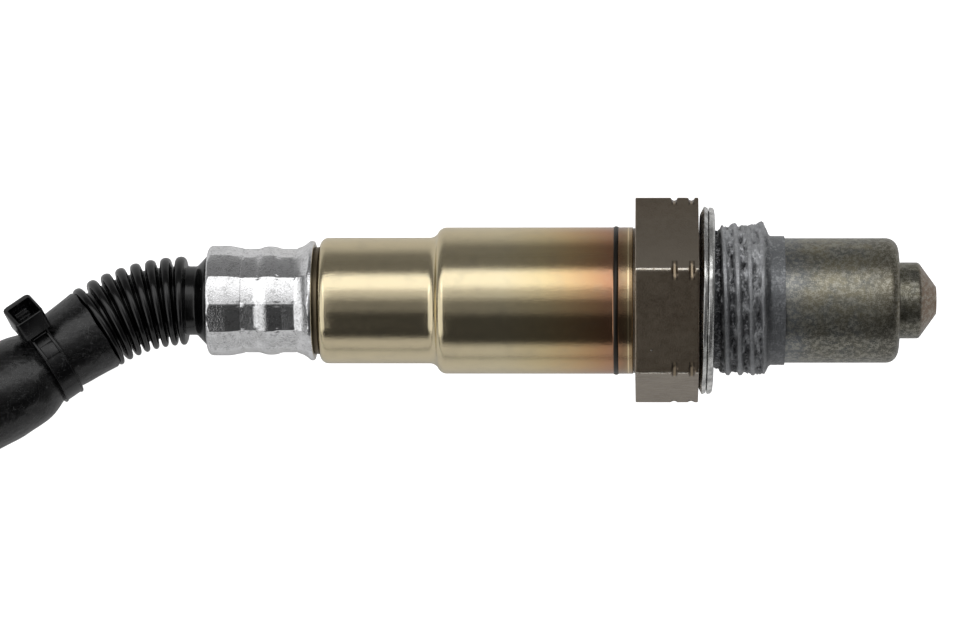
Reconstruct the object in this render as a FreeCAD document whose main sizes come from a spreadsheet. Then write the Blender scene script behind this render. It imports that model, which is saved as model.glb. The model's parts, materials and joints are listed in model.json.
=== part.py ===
import FreeCAD, Part
import math
import os

import Sketcher

# An engine's oxygen sensor with its boot, its protective hose and its connector, in millimetres.
# Every rigid piece of the sensor is built along its own axis, which is X: +X is the exhaust end and
# X = 0 is the front face of the crush washer. The whole sensor is then laid down on Z = 0.

V = FreeCAD.Vector
TURN = 360.0

SIZES = {
    # Hexagon and threaded body
    "hex_across_flats": 22.0,
    "hex_length": 7.56,
    "notch_depth": 0.6,
    "notch_width": 0.95,
    "first_notch": 0.89,
    "notch_spacing": 2.09,
    "undercut_radius": 8.0,
    "thread_radius": 9.0,
    "thread_start": 0.6,
    "thread_length": 5.9,
    "thread_lead_in": 0.9,
    "skirt_radius": 7.7,
    "skirt_length": 1.7,
    "nose_length": 2.8,
    "body_bore": 5.6,
    "bore_seat": 2.0,
    "nose_bore": 4.65,
    "spigot_length": 6.3,
    "crimp_lip": 0.8,
    "crimp_lip_bore": 4.8,
    # Crush washer, folded from strip
    "washer_bore": 8.55,
    "washer_width": 2.75,
    "washer_thickness": 1.95,
    "washer_gap": 0.15,
    "washer_strip": 0.5,
    "washer_fold_gap": 0.12,
    "washer_flank": 0.9,
    "washer_flank_rise": 0.62,
    "washer_corner": 0.12,
    "washer_front_round": 0.45,
    "washer_tilt": 0.55,
    # Protection tubes
    "outer_tube_radius": 7.5,
    "outer_tube_wall": 0.45,
    "outer_tube_end": 21.85,
    "outer_tube_round": 1.5,
    "outer_tube_bevel": 0.6,
    "gas_hole_radius": 0.5,
    "gas_hole_circle": 5.3,
    "gas_holes": 8,
    "inner_tube_radius": 4.58,
    "inner_tube_wall": 0.4,
    "inner_tube_shoulder": 24.3,
    "inner_tube_tip": 26.4,
    "inner_tube_round": 0.6,
    "inner_tip_radius": 1.68,
    "inner_tip_bore": 0.8,
    "inner_skirt": 5.0,
    "side_hole_radius": 0.6,
    "side_hole_station": 15.5,
    "side_holes": 6,
    "tube_fit": 0.04,
    # Ceramic packing round the element
    "element_width": 4.2,
    "element_height": 1.3,
    "element_front": 21.2,
    "element_length": 57.8,
    "element_bevel": 0.2,
    "element_fit": 0.05,
    "bush_fit": 0.04,
    "front_bush_length": 5.5,
    "front_bush_nose": 1.3,
    "front_bush_nose_radius": 4.1,
    "talc_length": 4.2,
    "rear_bush_length": 6.0,
    "rear_bush_tail": 4.0,
    "rear_bush_tail_radius": 4.4,
    "spring_washer_thickness": 0.3,
    # Contacts
    "contact_thickness": 0.25,
    "contact_width": 0.9,
    "contact_lap": 7.6,
    "contact_clearance": 0.4,
    "contact_neck": 3.0,
    "contact_tail": 3.0,
    "contact_pitch": 1.5,
    "holder_lap": 10.1,
    "holder_length": 10.5,
    "holder_radius": 5.8,
    "holder_slot_width": 5.2,
    "holder_slot_height": 3.6,
    "holder_split": 0.1,
    "clip_length": 5.0,
    "clip_fit": 0.06,
    # Protective sleeve
    "sleeve_gap": 0.24,
    "sleeve_radius": 8.83,
    "sleeve_wall": 0.5,
    "sleeve_length": 22.8,
    "step_length": 1.5,
    "small_sleeve_radius": 7.6,
    "small_sleeve_end": -47.6,
    "small_sleeve_round": 0.9,
    "step_round_front": 1.2,
    "step_round_rear": 1.0,
    "weld_station": 11.65,
    "weld_width": 0.6,
    "weld_height": 0.12,
    "neck_radius": 6.6,
    "neck_length": 0.8,
    "neck_tube_radius": 5.7,
    "neck_tube_taper": 1.4,
    "neck_tube_end": -52.5,
    # Crimped collar
    "collar_radius": 6.67,
    "collar_wall": 0.4,
    "collar_end": -61.6,
    "collar_round": 0.55,
    "collar_lip": 0.6,
    "collar_lip_bore": 5.45,
    "flare_radius": 7.24,
    "flare_rim": -48.1,
    "flare_edge": 0.5,
    "flare_length": 2.0,
    "flare_round": 3.0,
    "facet_flat": 6.44,
    "crimp_flat": 6.15,
    "crimp_flats": 12,
    "crimp_front": -51.45,
    "crimp_rear": -55.85,
    "crimp_width": 2.0,
    "crimp_edge": 0.06,
    "ridge_flat": 6.34,
    "ridge_round": 1.2,
    "facet_round": 2.5,
    "jaw_slope": 2.0,
    "jaw_clearance": 1.0,
    "crimp_roll": -6.3,
    "crimp_bore_rear": -57.2,
    "crimp_bore_taper": 0.3,
    "collar_fit": 0.05,
    # Grommet and leads
    "grommet_front": -46.4,
    "lead_radius": 0.75,
    "lead_circle": 2.1,
    "leads": 5,
    "lead_fit": 0.03,
    # Corrugated boot
    "boot_flange": 0.6,
    "boot_lip_radius": 5.37,
    "boot_valley_radius": 4.16,
    "boot_bore": 3.2,
    "boot_cone_length": 0.9,
    "boot_bend_start": -63.6,
    "boot_first_ring": 0.8,
    "boot_ring_pitch": 1.51,
    "boot_ring_radius": 5.36,
    "boot_ring_width": 1.05,
    "boot_ring_flat": 0.5,
    "boot_ring_slope": 0.3,
    "boot_rings": 8,
    "boot_bend": 37.4,
    "boot_bend_roll": 36.0,
    "boot_spigot": 11.0,
    # Protective hose and its tie
    "hose_radius": 5.25,
    "hose_fit": 0.05,
    "hose_first_run": 30.0,
    "tie_station": 6.5,
    "tie_width": 2.4,
    "tie_thickness": 0.85,
    "tie_seat_radius": 4.45,
    "tie_fit": 0.04,
    "tie_head_length": 3.8,
    "tie_head_width": 4.1,
    "tie_head_height": 4.28,
    "tie_head_round": 0.4,
    "tie_slot_length": 2.6,
    "tie_slot_width": 2.6,
    "tie_slot_floor": 0.5,
    "tie_pawl": 0.7,
    "tie_pawl_drop": 0.6,
    "tie_head_roll": -63.7,
    "tie_pad_length": 3.4,
    "tie_pad_height": 0.25,
    "tie_pad_inset": 0.25,
    # Connector
    "plug_gap": 26.0,
    "free_lead_start": 7.0,
    "free_lead_entry": 3.0,
    "plug_height": 17.0,
    "plug_width": 27.0,
    "plug_length": 38.0,
    "plug_wall": 1.8,
    "plug_round": 3.0,
    "socket_depth": 18.0,
    "seal_length": 5.0,
    "seal_recess": 6.0,
    "seal_ledge": 0.6,
    "seal_fit": 0.05,
    "plug_pitch": 5.2,
    "plug_row_pitch": 5.0,
    "cover_thickness": 2.4,
    "cover_inset": 0.3,
    "cover_way_fit": 0.3,
    "lead_stop": 1.0,
    "pin_width": 1.5,
    "pin_height": 0.8,
    "pin_reach": 9.0,
    "pin_tip": 0.8,
    "pin_fit": 0.05,
    "latch_width": 6.0,
    "latch_length": 5.0,
    "latch_height": 1.8,
    "latch_station": 27.0,
    "latch_crest": 1.2,
    "latch_toe": 0.1,
    "moulded_root": 0.4,
    "rail_width": 1.6,
    "rail_height": 1.2,
    "rail_length": 17.0,
    "rail_offset": 6.5,
    "lock_width": 16.0,
    "lock_length": 3.0,
    "lock_depth": 3.2,
    "lock_station": 11.0,
    "lock_fit": 0.05,
    "lock_inset": 0.2,
}

doc = FreeCAD.newDocument("oxygen_sensor")
sheet = doc.addObject("Spreadsheet::Sheet", "Sizes")
for row, (alias, number) in enumerate(SIZES.items(), start=1):
    sheet.set(f"A{row}", alias.replace("_", " "))
    sheet.set(f"B{row}", str(number))
    sheet.setAlias(f"B{row}", alias)
doc.recompute()

# Stations along the sensor's axis that several pieces share
HEX_FRONT = "-(Sizes.washer_thickness + Sizes.washer_gap)"
HEX_REAR = f"({HEX_FRONT} - Sizes.hex_length)"
HEX_CORNER = "(Sizes.hex_across_flats / sqrt(3))"
BODY_REAR = f"({HEX_REAR} - Sizes.spigot_length)"
THREAD_END = "(Sizes.thread_start + Sizes.thread_length)"
SKIRT_END = f"({THREAD_END} + Sizes.skirt_length)"
NOSE_END = f"({SKIRT_END} + Sizes.nose_length)"
SLEEVE_FRONT = f"({HEX_REAR} - Sizes.sleeve_gap)"
STEP_FRONT = f"({SLEEVE_FRONT} - Sizes.sleeve_length)"
STEP_REAR = f"({STEP_FRONT} - Sizes.step_length)"
SLEEVE_BORE = "(Sizes.sleeve_radius - Sizes.sleeve_wall)"
SMALL_BORE = "(Sizes.small_sleeve_radius - Sizes.sleeve_wall)"
NECK_BORE = "(Sizes.neck_tube_radius - Sizes.sleeve_wall)"
NECK_END = "(Sizes.small_sleeve_end - Sizes.neck_length)"
LIP_FRONT = f"({BODY_REAR} + Sizes.crimp_lip)"
FRONT_BUSH_REAR = "(Sizes.bore_seat - Sizes.front_bush_length)"
TALC_REAR = f"({FRONT_BUSH_REAR} - Sizes.talc_length)"
REAR_BUSH_REAR = f"({TALC_REAR} - Sizes.rear_bush_length)"
PACKING_RADIUS = "(Sizes.body_bore - Sizes.bush_fit)"
FACET_BORE = "(Sizes.facet_flat - Sizes.collar_wall)"
CRIMP_BORE = "(Sizes.crimp_flat - Sizes.collar_wall)"
FLARE_REAR = "(Sizes.flare_rim - Sizes.flare_edge - Sizes.flare_length)"
LIP_INSIDE = "(Sizes.collar_end + Sizes.collar_lip)"
FLANGE_FRONT = f"({LIP_INSIDE} + Sizes.boot_flange)"
FLANGE_RADIUS = f"({FACET_BORE} - Sizes.collar_fit)"
ELEMENT_REAR = "(Sizes.element_front - Sizes.element_length)"
HOLDER_FRONT = f"({ELEMENT_REAR} + Sizes.holder_lap)"
CONTACT_FRONT = f"({ELEMENT_REAR} + Sizes.contact_lap)"
CONTACT_BEND = f"({ELEMENT_REAR} - Sizes.contact_clearance)"
CONTACT_CRIMP = f"({CONTACT_BEND} - Sizes.contact_neck)"
CONTACT_END = f"({CONTACT_CRIMP} - Sizes.contact_tail)"


def size(alias):
    """The number that the sheet holds for a size."""
    return float(sheet.get(alias))


def value(expression):
    """What an expression on the sheet comes to now."""
    found = sheet.evalExpression(expression)
    return float(getattr(found, "Value", found))


def origin_feature(body, role):
    """One of the body's own planes or axes."""
    return next(f for f in body.Origin.OriginFeatures if f.Role == role)


def new_sketch(body, name, role, station=None):
    """An empty sketch on one of the body's own planes, moved out along its normal to a station."""
    sketch = body.newObject("Sketcher::SketchObject", f"{body.Label}_{name}")
    sketch.AttachmentSupport = [(origin_feature(body, role), "")]
    sketch.MapMode = "FlatFace"
    if station is not None:
        sketch.setExpression("AttachmentOffset.Base.z", station)
    return sketch


def bind_point(sketch, element, place, across, up):
    """Holds one point of a sketch at two sheet expressions."""
    for kind, expression in (("DistanceX", across), ("DistanceY", up)):
        index = sketch.addConstraint(
            Sketcher.Constraint(kind, -1, 1, element, place, value(expression))
        )
        sketch.setExpression(f"Constraints[{index}]", expression)


def round_corner(sketch, line, radius):
    """Rounds the corner at a line's start, and keeps the corner's own place as a bound point."""
    arc = sketch.GeometryCount
    sketch.fillet(line, 1, value(radius), True, True)
    index = sketch.addConstraint(Sketcher.Constraint("Radius", arc, value(radius)))
    sketch.setExpression(f"Constraints[{index}]", radius)


def add_outline(sketch, corners):
    """A closed outline through corners (across, up), each rounded where it has a third expression."""
    first = sketch.GeometryCount
    spots = [V(value(corner[0]), value(corner[1]), 0) for corner in corners]
    for here, there in zip(spots, spots[1:] + spots[:1]):
        sketch.addGeometry(Part.LineSegment(here, there))
    count = len(corners)
    for k in range(count):
        following = first + (k + 1) % count
        sketch.addConstraint(Sketcher.Constraint("Coincident", first + k, 2, following, 1))
    for k, corner in enumerate(corners):
        bind_point(sketch, first + k, 1, corner[0], corner[1])
    for k, corner in enumerate(corners):
        if len(corner) == 3:
            round_corner(sketch, first + k, corner[2])


def add_circle(sketch, across, up, radius):
    circle = Part.Circle(V(value(across), value(up), 0), V(0, 0, 1), value(radius))
    element = sketch.addGeometry(circle)
    bind_point(sketch, element, 3, across, up)
    index = sketch.addConstraint(Sketcher.Constraint("Radius", element, value(radius)))
    sketch.setExpression(f"Constraints[{index}]", radius)


def rectangle(low_across, high_across, low_up, high_up):
    return [
        (low_across, low_up),
        (high_across, low_up),
        (high_across, high_up),
        (low_across, high_up),
    ]


def hexagon(across_corners):
    """The corners of a hexagon that lies on a flat, as pairs of expressions."""
    return [
        (f"{across_corners} * cos({angle})", f"{across_corners} * sin({angle})")
        for angle in range(0, 360, 60)
    ]


def turned(label, corners):
    """A body turned about X from an outline of (station, radius) corners."""
    body = doc.addObject("PartDesign::Body", label)
    body.Label = label
    sketch = new_sketch(body, "outline", "XZ_Plane")
    add_outline(sketch, corners)
    turn = body.newObject("PartDesign::Revolution", f"{label}_turned")
    turn.Profile = sketch
    turn.ReferenceAxis = (sketch, ["H_Axis"])
    turn.Angle = TURN
    return body


def padded(body, sketch, length, name):
    pad = body.newObject("PartDesign::Pad", f"{body.Label}_{name}")
    pad.Profile = sketch
    pad.setExpression("Length", length)
    return pad


def pocketed(body, sketch, length, name, forwards=False, midplane=False):
    """Cuts a sketch out of the body, against its normal or forwards along it."""
    doc.recompute()
    before = body.Shape.Volume
    pocket = body.newObject("PartDesign::Pocket", f"{body.Label}_{name}")
    pocket.Profile = sketch
    pocket.setExpression("Length", length)
    pocket.Midplane = midplane
    pocket.Reversed = forwards
    doc.recompute()
    if not body.Shape.Volume < before:
        raise RuntimeError(f"{pocket.Label} cuts nothing")
    return pocket


def patterned(body, feature, copies):
    """Repeats a feature round the body's X axis."""
    pattern = body.newObject("PartDesign::PolarPattern", f"{feature.Label}_round_axis")
    pattern.Originals = [feature]
    pattern.Axis = (origin_feature(body, "X_Axis"), [""])
    pattern.Angle = TURN
    pattern.setExpression("Occurrences", copies)
    body.Tip = pattern
    doc.recompute()
    return pattern


def straight_edges(shape, axis, chosen):
    """The names of a shape's edges that run along an axis and whose middle passes a test."""
    names = []
    for number, edge in enumerate(shape.Edges, start=1):
        if not isinstance(edge.Curve, Part.Line):
            continue
        if abs(abs(edge.Curve.Direction.dot(axis)) - 1) > 1e-6:
            continue
        if chosen(edge.CenterOfMass):
            names.append(f"Edge{number}")
    return names


def round_straight(body, radius, axis, chosen, name):
    doc.recompute()
    base = body.Tip
    names = straight_edges(base.Shape, axis, chosen)
    fillet = body.newObject("PartDesign::Fillet", f"{body.Label}_{name}")
    fillet.Base = (base, names)
    fillet.setExpression("Radius", radius)
    doc.recompute()


def feature_from(label, shape):
    """A sub-part whose form neither a body nor a primitive gives."""
    feature = doc.addObject("Part::Feature", label)
    feature.Label = label
    feature.Shape = shape
    return feature


def element_slot(body, rear, length):
    """The rectangular way for the sensing element through a ceramic piece."""
    sketch = new_sketch(body, "element_way", "YZ_Plane", rear)
    half_width = "(Sizes.element_width / 2 + Sizes.element_fit)"
    half_height = "(Sizes.element_height / 2 + Sizes.element_fit)"
    add_outline(
        sketch,
        rectangle(f"-{half_width}", half_width, f"-{half_height}", half_height),
    )
    pocketed(body, sketch, length, "element_cut")


def lead_places():
    """Where the leads cross the sensor's section, as pairs of expressions for Y and Z."""
    step = TURN / size("leads")
    angles = [90 - step * k for k in range(int(size("leads")))]
    return [(f"Sizes.lead_circle * cos({a})", f"Sizes.lead_circle * sin({a})") for a in angles]


def sensor_housing():
    """The one-piece steel body: rear spigot, hexagon, undercut, thread, skirt and nose."""
    body = turned(
        "sensor_housing",
        [
            (BODY_REAR, "Sizes.crimp_lip_bore"),
            (BODY_REAR, f"{SLEEVE_BORE} - Sizes.tube_fit"),
            (HEX_REAR, f"{SLEEVE_BORE} - Sizes.tube_fit"),
            (HEX_REAR, "Sizes.hex_across_flats / 2 - Sizes.notch_depth"),
            (HEX_FRONT, "Sizes.hex_across_flats / 2 - Sizes.notch_depth"),
            (HEX_FRONT, "Sizes.undercut_radius"),
            ("Sizes.thread_start - Sizes.thread_lead_in / 2", "Sizes.undercut_radius"),
            ("Sizes.thread_start", "Sizes.thread_radius"),
            (f"{THREAD_END} - Sizes.thread_lead_in", "Sizes.thread_radius"),
            (THREAD_END, "Sizes.skirt_radius"),
            (SKIRT_END, "Sizes.skirt_radius"),
            (SKIRT_END, "Sizes.outer_tube_radius - Sizes.outer_tube_wall - Sizes.tube_fit"),
            (NOSE_END, "Sizes.outer_tube_radius - Sizes.outer_tube_wall - Sizes.tube_fit"),
            (NOSE_END, "Sizes.nose_bore"),
            ("Sizes.bore_seat", "Sizes.nose_bore"),
            ("Sizes.bore_seat", "Sizes.body_bore"),
            (LIP_FRONT, "Sizes.body_bore"),
            (LIP_FRONT, "Sizes.crimp_lip_bore"),
        ],
    )
    flats = new_sketch(body, "hexagon", "YZ_Plane", HEX_REAR)
    add_outline(flats, hexagon(HEX_CORNER))
    add_circle(flats, "0", "0", "Sizes.undercut_radius")
    padded(body, flats, "Sizes.hex_length", "hexagon_pad")
    for count, offset in enumerate(("0", "Sizes.notch_spacing"), start=1):
        middle = f"({HEX_FRONT} - Sizes.first_notch - {offset})"
        notch = new_sketch(body, f"notch_{count}", "XY_Plane")
        add_outline(
            notch,
            [
                (f"{middle} - Sizes.notch_width / 2", f"{HEX_CORNER} + 0.05"),
                (middle, f"{HEX_CORNER} - Sizes.notch_depth"),
                (f"{middle} + Sizes.notch_width / 2", f"{HEX_CORNER} + 0.05"),
            ],
        )
        cut = pocketed(
            body, notch, "Sizes.hex_across_flats / 4", f"notch_cut_{count}", midplane=True
        )
        patterned(body, cut, "6")
    return body


def crush_washer():
    """The captive washer, folded twice from steel strip: two outer rims with a groove between."""
    rim = "(Sizes.washer_bore + Sizes.washer_width)"
    rear = "-Sizes.washer_thickness"
    first_gap = f"({rear} + Sizes.washer_strip)"
    second_layer = f"({first_gap} + Sizes.washer_fold_gap)"
    second_gap = f"({second_layer} + Sizes.washer_strip)"
    third_layer = f"({second_gap} + Sizes.washer_fold_gap)"
    fold_out = f"({rim} - Sizes.washer_strip)"
    fold_in = "(Sizes.washer_bore + Sizes.washer_strip)"
    corner = "Sizes.washer_corner"
    front_round = "Sizes.washer_front_round"
    return turned(
        "crush_washer",
        [
            (rear, "Sizes.washer_bore"),
            (rear, f"{rim} - Sizes.washer_flank"),
            (f"{rear} + Sizes.washer_flank_rise", rim),
            (f"{second_gap} - {corner}", rim),
            (second_gap, f"{rim} - {corner}"),
            (second_gap, fold_in),
            (third_layer, fold_in),
            (third_layer, f"{rim} - {corner}"),
            (f"{third_layer} + {corner}", rim),
            (f"-{front_round} / 2", rim),
            ("0", f"{rim} - {front_round}"),
            ("0", f"Sizes.washer_bore + {corner}"),
            (f"-{corner}", "Sizes.washer_bore"),
            (second_layer, "Sizes.washer_bore"),
            (second_layer, fold_out),
            (first_gap, fold_out),
            (first_gap, "Sizes.washer_bore"),
        ],
    )


def outer_protection_tube():
    """The deep-drawn outer tube, with a ring of gas holes in its end."""
    bore = "(Sizes.outer_tube_radius - Sizes.outer_tube_wall)"
    inside = "(Sizes.outer_tube_end - Sizes.outer_tube_wall)"
    mouth = "(Sizes.inner_tube_radius + Sizes.tube_fit)"
    bevel = "Sizes.outer_tube_bevel"
    body = turned(
        "outer_protection_tube",
        [
            (SKIRT_END, bore),
            (SKIRT_END, "Sizes.outer_tube_radius"),
            ("Sizes.outer_tube_end", "Sizes.outer_tube_radius", "Sizes.outer_tube_round"),
            ("Sizes.outer_tube_end", mouth),
            (inside, mouth),
            (inside, f"{bore} - {bevel}"),
            (f"{inside} - {bevel}", bore),
        ],
    )
    hole = new_sketch(body, "gas_hole", "YZ_Plane", inside)
    add_circle(hole, "0", "Sizes.gas_hole_circle", "Sizes.gas_hole_radius")
    cut = pocketed(body, hole, "Sizes.outer_tube_wall * 2", "gas_hole_cut", forwards=True)
    patterned(body, cut, "Sizes.gas_holes")
    return body


def inner_protection_tube():
    """The inner tube: flanged against the nose, cone-ended, with side holes and a tip hole."""
    rear = f"({NOSE_END} - Sizes.inner_skirt)"
    flange_front = f"({NOSE_END} + Sizes.inner_tube_wall)"
    flange_radius = "(Sizes.outer_tube_radius - Sizes.outer_tube_wall - 2 * Sizes.tube_fit)"
    bore = "(Sizes.inner_tube_radius - Sizes.inner_tube_wall)"
    body = turned(
        "inner_protection_tube",
        [
            (rear, bore),
            (rear, "Sizes.inner_tube_radius"),
            (NOSE_END, "Sizes.inner_tube_radius"),
            (NOSE_END, flange_radius),
            (flange_front, flange_radius),
            (flange_front, "Sizes.inner_tube_radius"),
            ("Sizes.inner_tube_shoulder", "Sizes.inner_tube_radius", "Sizes.inner_tube_round"),
            ("Sizes.inner_tube_tip", "Sizes.inner_tip_radius"),
            ("Sizes.inner_tube_tip", "Sizes.inner_tip_bore"),
            ("Sizes.inner_tube_tip - Sizes.inner_tube_wall", "Sizes.inner_tip_bore"),
            (
                "Sizes.inner_tube_tip - Sizes.inner_tube_wall",
                "Sizes.inner_tip_radius - Sizes.inner_tube_wall / 2",
            ),
            ("Sizes.inner_tube_shoulder - Sizes.inner_tube_wall / 2", bore),
        ],
    )
    hole = new_sketch(body, "side_hole", "XY_Plane")
    add_circle(hole, "Sizes.side_hole_station", "0", "Sizes.side_hole_radius")
    cut = pocketed(body, hole, "Sizes.inner_tube_radius + 1", "side_hole_cut", forwards=True)
    patterned(body, cut, "Sizes.side_holes")
    return body


def sensing_element():
    """The laminated ceramic bar, one piece, bevelled along its edges."""
    body = doc.addObject("PartDesign::Body", "sensing_element")
    body.Label = "sensing_element"
    section = new_sketch(body, "section", "YZ_Plane", ELEMENT_REAR)
    wide = "(Sizes.element_width / 2)"
    tall = "(Sizes.element_height / 2)"
    bevel = "Sizes.element_bevel"
    add_outline(
        section,
        [
            (f"-({wide} - {bevel})", f"-{tall}"),
            (f"{wide} - {bevel}", f"-{tall}"),
            (wide, f"-({tall} - {bevel})"),
            (wide, f"{tall} - {bevel}"),
            (f"{wide} - {bevel}", tall),
            (f"-({wide} - {bevel})", tall),
            (f"-{wide}", f"{tall} - {bevel}"),
            (f"-{wide}", f"-({tall} - {bevel})"),
        ],
    )
    padded(body, section, "Sizes.element_length", "bar")
    return body


def ceramic_packing():
    """The front bush, the pressed talc, the rear bush and the spring washer that loads them."""
    pieces = []
    nose_front = "(Sizes.bore_seat + Sizes.front_bush_nose)"
    front = turned(
        "front_ceramic_bush",
        [
            (FRONT_BUSH_REAR, "0"),
            (FRONT_BUSH_REAR, PACKING_RADIUS),
            ("Sizes.bore_seat", PACKING_RADIUS),
            ("Sizes.bore_seat", "Sizes.front_bush_nose_radius"),
            (nose_front, "Sizes.front_bush_nose_radius"),
            (nose_front, "0"),
        ],
    )
    element_slot(front, nose_front, "Sizes.front_bush_length + Sizes.front_bush_nose")
    pieces.append(front)
    talc = turned(
        "talc_packing",
        [
            (TALC_REAR, "0"),
            (TALC_REAR, PACKING_RADIUS),
            (FRONT_BUSH_REAR, PACKING_RADIUS),
            (FRONT_BUSH_REAR, "0"),
        ],
    )
    element_slot(talc, FRONT_BUSH_REAR, "Sizes.talc_length")
    pieces.append(talc)
    tail_rear = f"({REAR_BUSH_REAR} - Sizes.rear_bush_tail)"
    rear = turned(
        "rear_ceramic_bush",
        [
            (tail_rear, "0"),
            (tail_rear, "Sizes.rear_bush_tail_radius"),
            (REAR_BUSH_REAR, "Sizes.rear_bush_tail_radius"),
            (REAR_BUSH_REAR, PACKING_RADIUS),
            (TALC_REAR, PACKING_RADIUS),
            (TALC_REAR, "0"),
        ],
    )
    element_slot(rear, TALC_REAR, "Sizes.rear_bush_length + Sizes.rear_bush_tail")
    pieces.append(rear)
    thickness = "Sizes.spring_washer_thickness"
    inner = "(Sizes.rear_bush_tail_radius + 0.1)"
    pieces.append(
        turned(
            "packing_spring_washer",
            [
                (LIP_FRONT, inner),
                (f"{LIP_FRONT} + {thickness}", inner),
                (REAR_BUSH_REAR, f"{PACKING_RADIUS} - 0.1"),
                (REAR_BUSH_REAR, PACKING_RADIUS),
                (f"{REAR_BUSH_REAR} - {thickness}", PACKING_RADIUS),
                (LIP_FRONT, f"{inner} + 0.2"),
            ],
        )
    )
    return pieces


def contact_strips():
    """The spring strips, three on the element's upper face and two on its lower one."""
    strips = []
    half_height = "(Sizes.element_height / 2)"
    thick = "Sizes.contact_thickness"
    for number, (across, up) in enumerate(lead_places(), start=1):
        label = f"contact_strip_{number}"
        body = doc.addObject("PartDesign::Body", label)
        body.Label = label
        side = 1 if value(up) > 0 else -1
        sign = "" if side > 0 else "-"
        level = f"({up})"
        near = f"({sign}{half_height})"
        far = f"({sign}({half_height} + {thick}))"
        back_near = f"({level} - {thick} / 2)" if side > 0 else f"({level} + {thick} / 2)"
        back_far = f"({level} + {thick} / 2)" if side > 0 else f"({level} - {thick} / 2)"
        middle = value(across)
        place = "0" if abs(middle) < 0.5 else f"{math.copysign(1, middle):.0f} * Sizes.contact_pitch"
        strip = new_sketch(body, "strip", "XZ_Plane", f"-({place})")
        add_outline(
            strip,
            [
                (CONTACT_FRONT, near),
                (CONTACT_FRONT, far),
                (CONTACT_BEND, far),
                (CONTACT_CRIMP, back_far),
                (CONTACT_END, back_far),
                (CONTACT_END, back_near),
                (CONTACT_CRIMP, back_near),
                (CONTACT_BEND, near),
            ],
        )
        pad = padded(body, strip, "Sizes.contact_width", "leaf")
        pad.Midplane = True
        strips.append(body)
    return strips


def contact_holder():
    """Two ceramic halves round the contacts, and the spring clip that holds them in the sleeve."""
    rear = f"({HOLDER_FRONT} - Sizes.holder_length)"
    pieces = []
    for label, sign in (("contact_holder_upper", ""), ("contact_holder_lower", "-")):
        body = turned(
            label,
            [
                (rear, "0"),
                (rear, "Sizes.holder_radius"),
                (HOLDER_FRONT, "Sizes.holder_radius"),
                (HOLDER_FRONT, "0"),
            ],
        )
        beyond = "(Sizes.holder_radius + 1)"
        half = new_sketch(body, "other_half", "YZ_Plane", HOLDER_FRONT)
        split = "(Sizes.holder_split / 2)"
        if sign:
            add_outline(half, rectangle(f"-{beyond}", beyond, f"-{split}", beyond))
        else:
            add_outline(half, rectangle(f"-{beyond}", beyond, f"-{beyond}", split))
        pocketed(body, half, "Sizes.holder_length", "half_cut")
        way = new_sketch(body, "contact_way", "YZ_Plane", HOLDER_FRONT)
        wide = "(Sizes.holder_slot_width / 2)"
        tall = "(Sizes.holder_slot_height / 2)"
        add_outline(way, rectangle(f"-{wide}", wide, f"-{tall}", tall))
        pocketed(body, way, "Sizes.holder_length", "contact_way_cut")
        pieces.append(body)
    clip_front = f"({rear} + Sizes.clip_length)"
    clip = turned(
        "contact_clip",
        [
            (rear, "Sizes.holder_radius + Sizes.clip_fit"),
            (rear, f"{SMALL_BORE} - Sizes.clip_fit"),
            (clip_front, f"{SMALL_BORE} - Sizes.clip_fit"),
            (clip_front, "Sizes.holder_radius + Sizes.clip_fit"),
        ],
    )
    pieces.append(clip)
    return pieces


def protective_sleeve():
    """The drawn sleeve: weld bead, stepped body and the neck that the collar is crimped on."""
    weld_rear = "(-Sizes.weld_station - Sizes.weld_width)"
    weld_top = "(Sizes.sleeve_radius + Sizes.weld_height)"
    slope = "(Sizes.weld_width / 4)"
    taper_rear = f"({NECK_END} - Sizes.neck_tube_taper)"
    end_inside = "(Sizes.small_sleeve_end + Sizes.sleeve_wall)"
    body = turned(
        "protective_sleeve",
        [
            (SLEEVE_FRONT, SLEEVE_BORE),
            (SLEEVE_FRONT, "Sizes.sleeve_radius"),
            ("-Sizes.weld_station", "Sizes.sleeve_radius"),
            (f"-Sizes.weld_station - {slope}", weld_top),
            (f"{weld_rear} + {slope}", weld_top),
            (weld_rear, "Sizes.sleeve_radius"),
            (STEP_FRONT, "Sizes.sleeve_radius", "Sizes.step_round_front"),
            (STEP_REAR, "Sizes.small_sleeve_radius", "Sizes.step_round_rear"),
            (
                "Sizes.small_sleeve_end",
                "Sizes.small_sleeve_radius",
                "Sizes.small_sleeve_round",
            ),
            ("Sizes.small_sleeve_end", "Sizes.neck_radius"),
            (NECK_END, "Sizes.neck_radius"),
            (taper_rear, "Sizes.neck_tube_radius"),
            ("Sizes.neck_tube_end", "Sizes.neck_tube_radius"),
            ("Sizes.neck_tube_end", NECK_BORE),
            (end_inside, NECK_BORE),
            (end_inside, SMALL_BORE),
            (f"{STEP_REAR} - Sizes.sleeve_wall / 2", SMALL_BORE),
            (f"{STEP_FRONT} - Sizes.sleeve_wall / 2", SLEEVE_BORE),
        ],
    )
    return body


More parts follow.
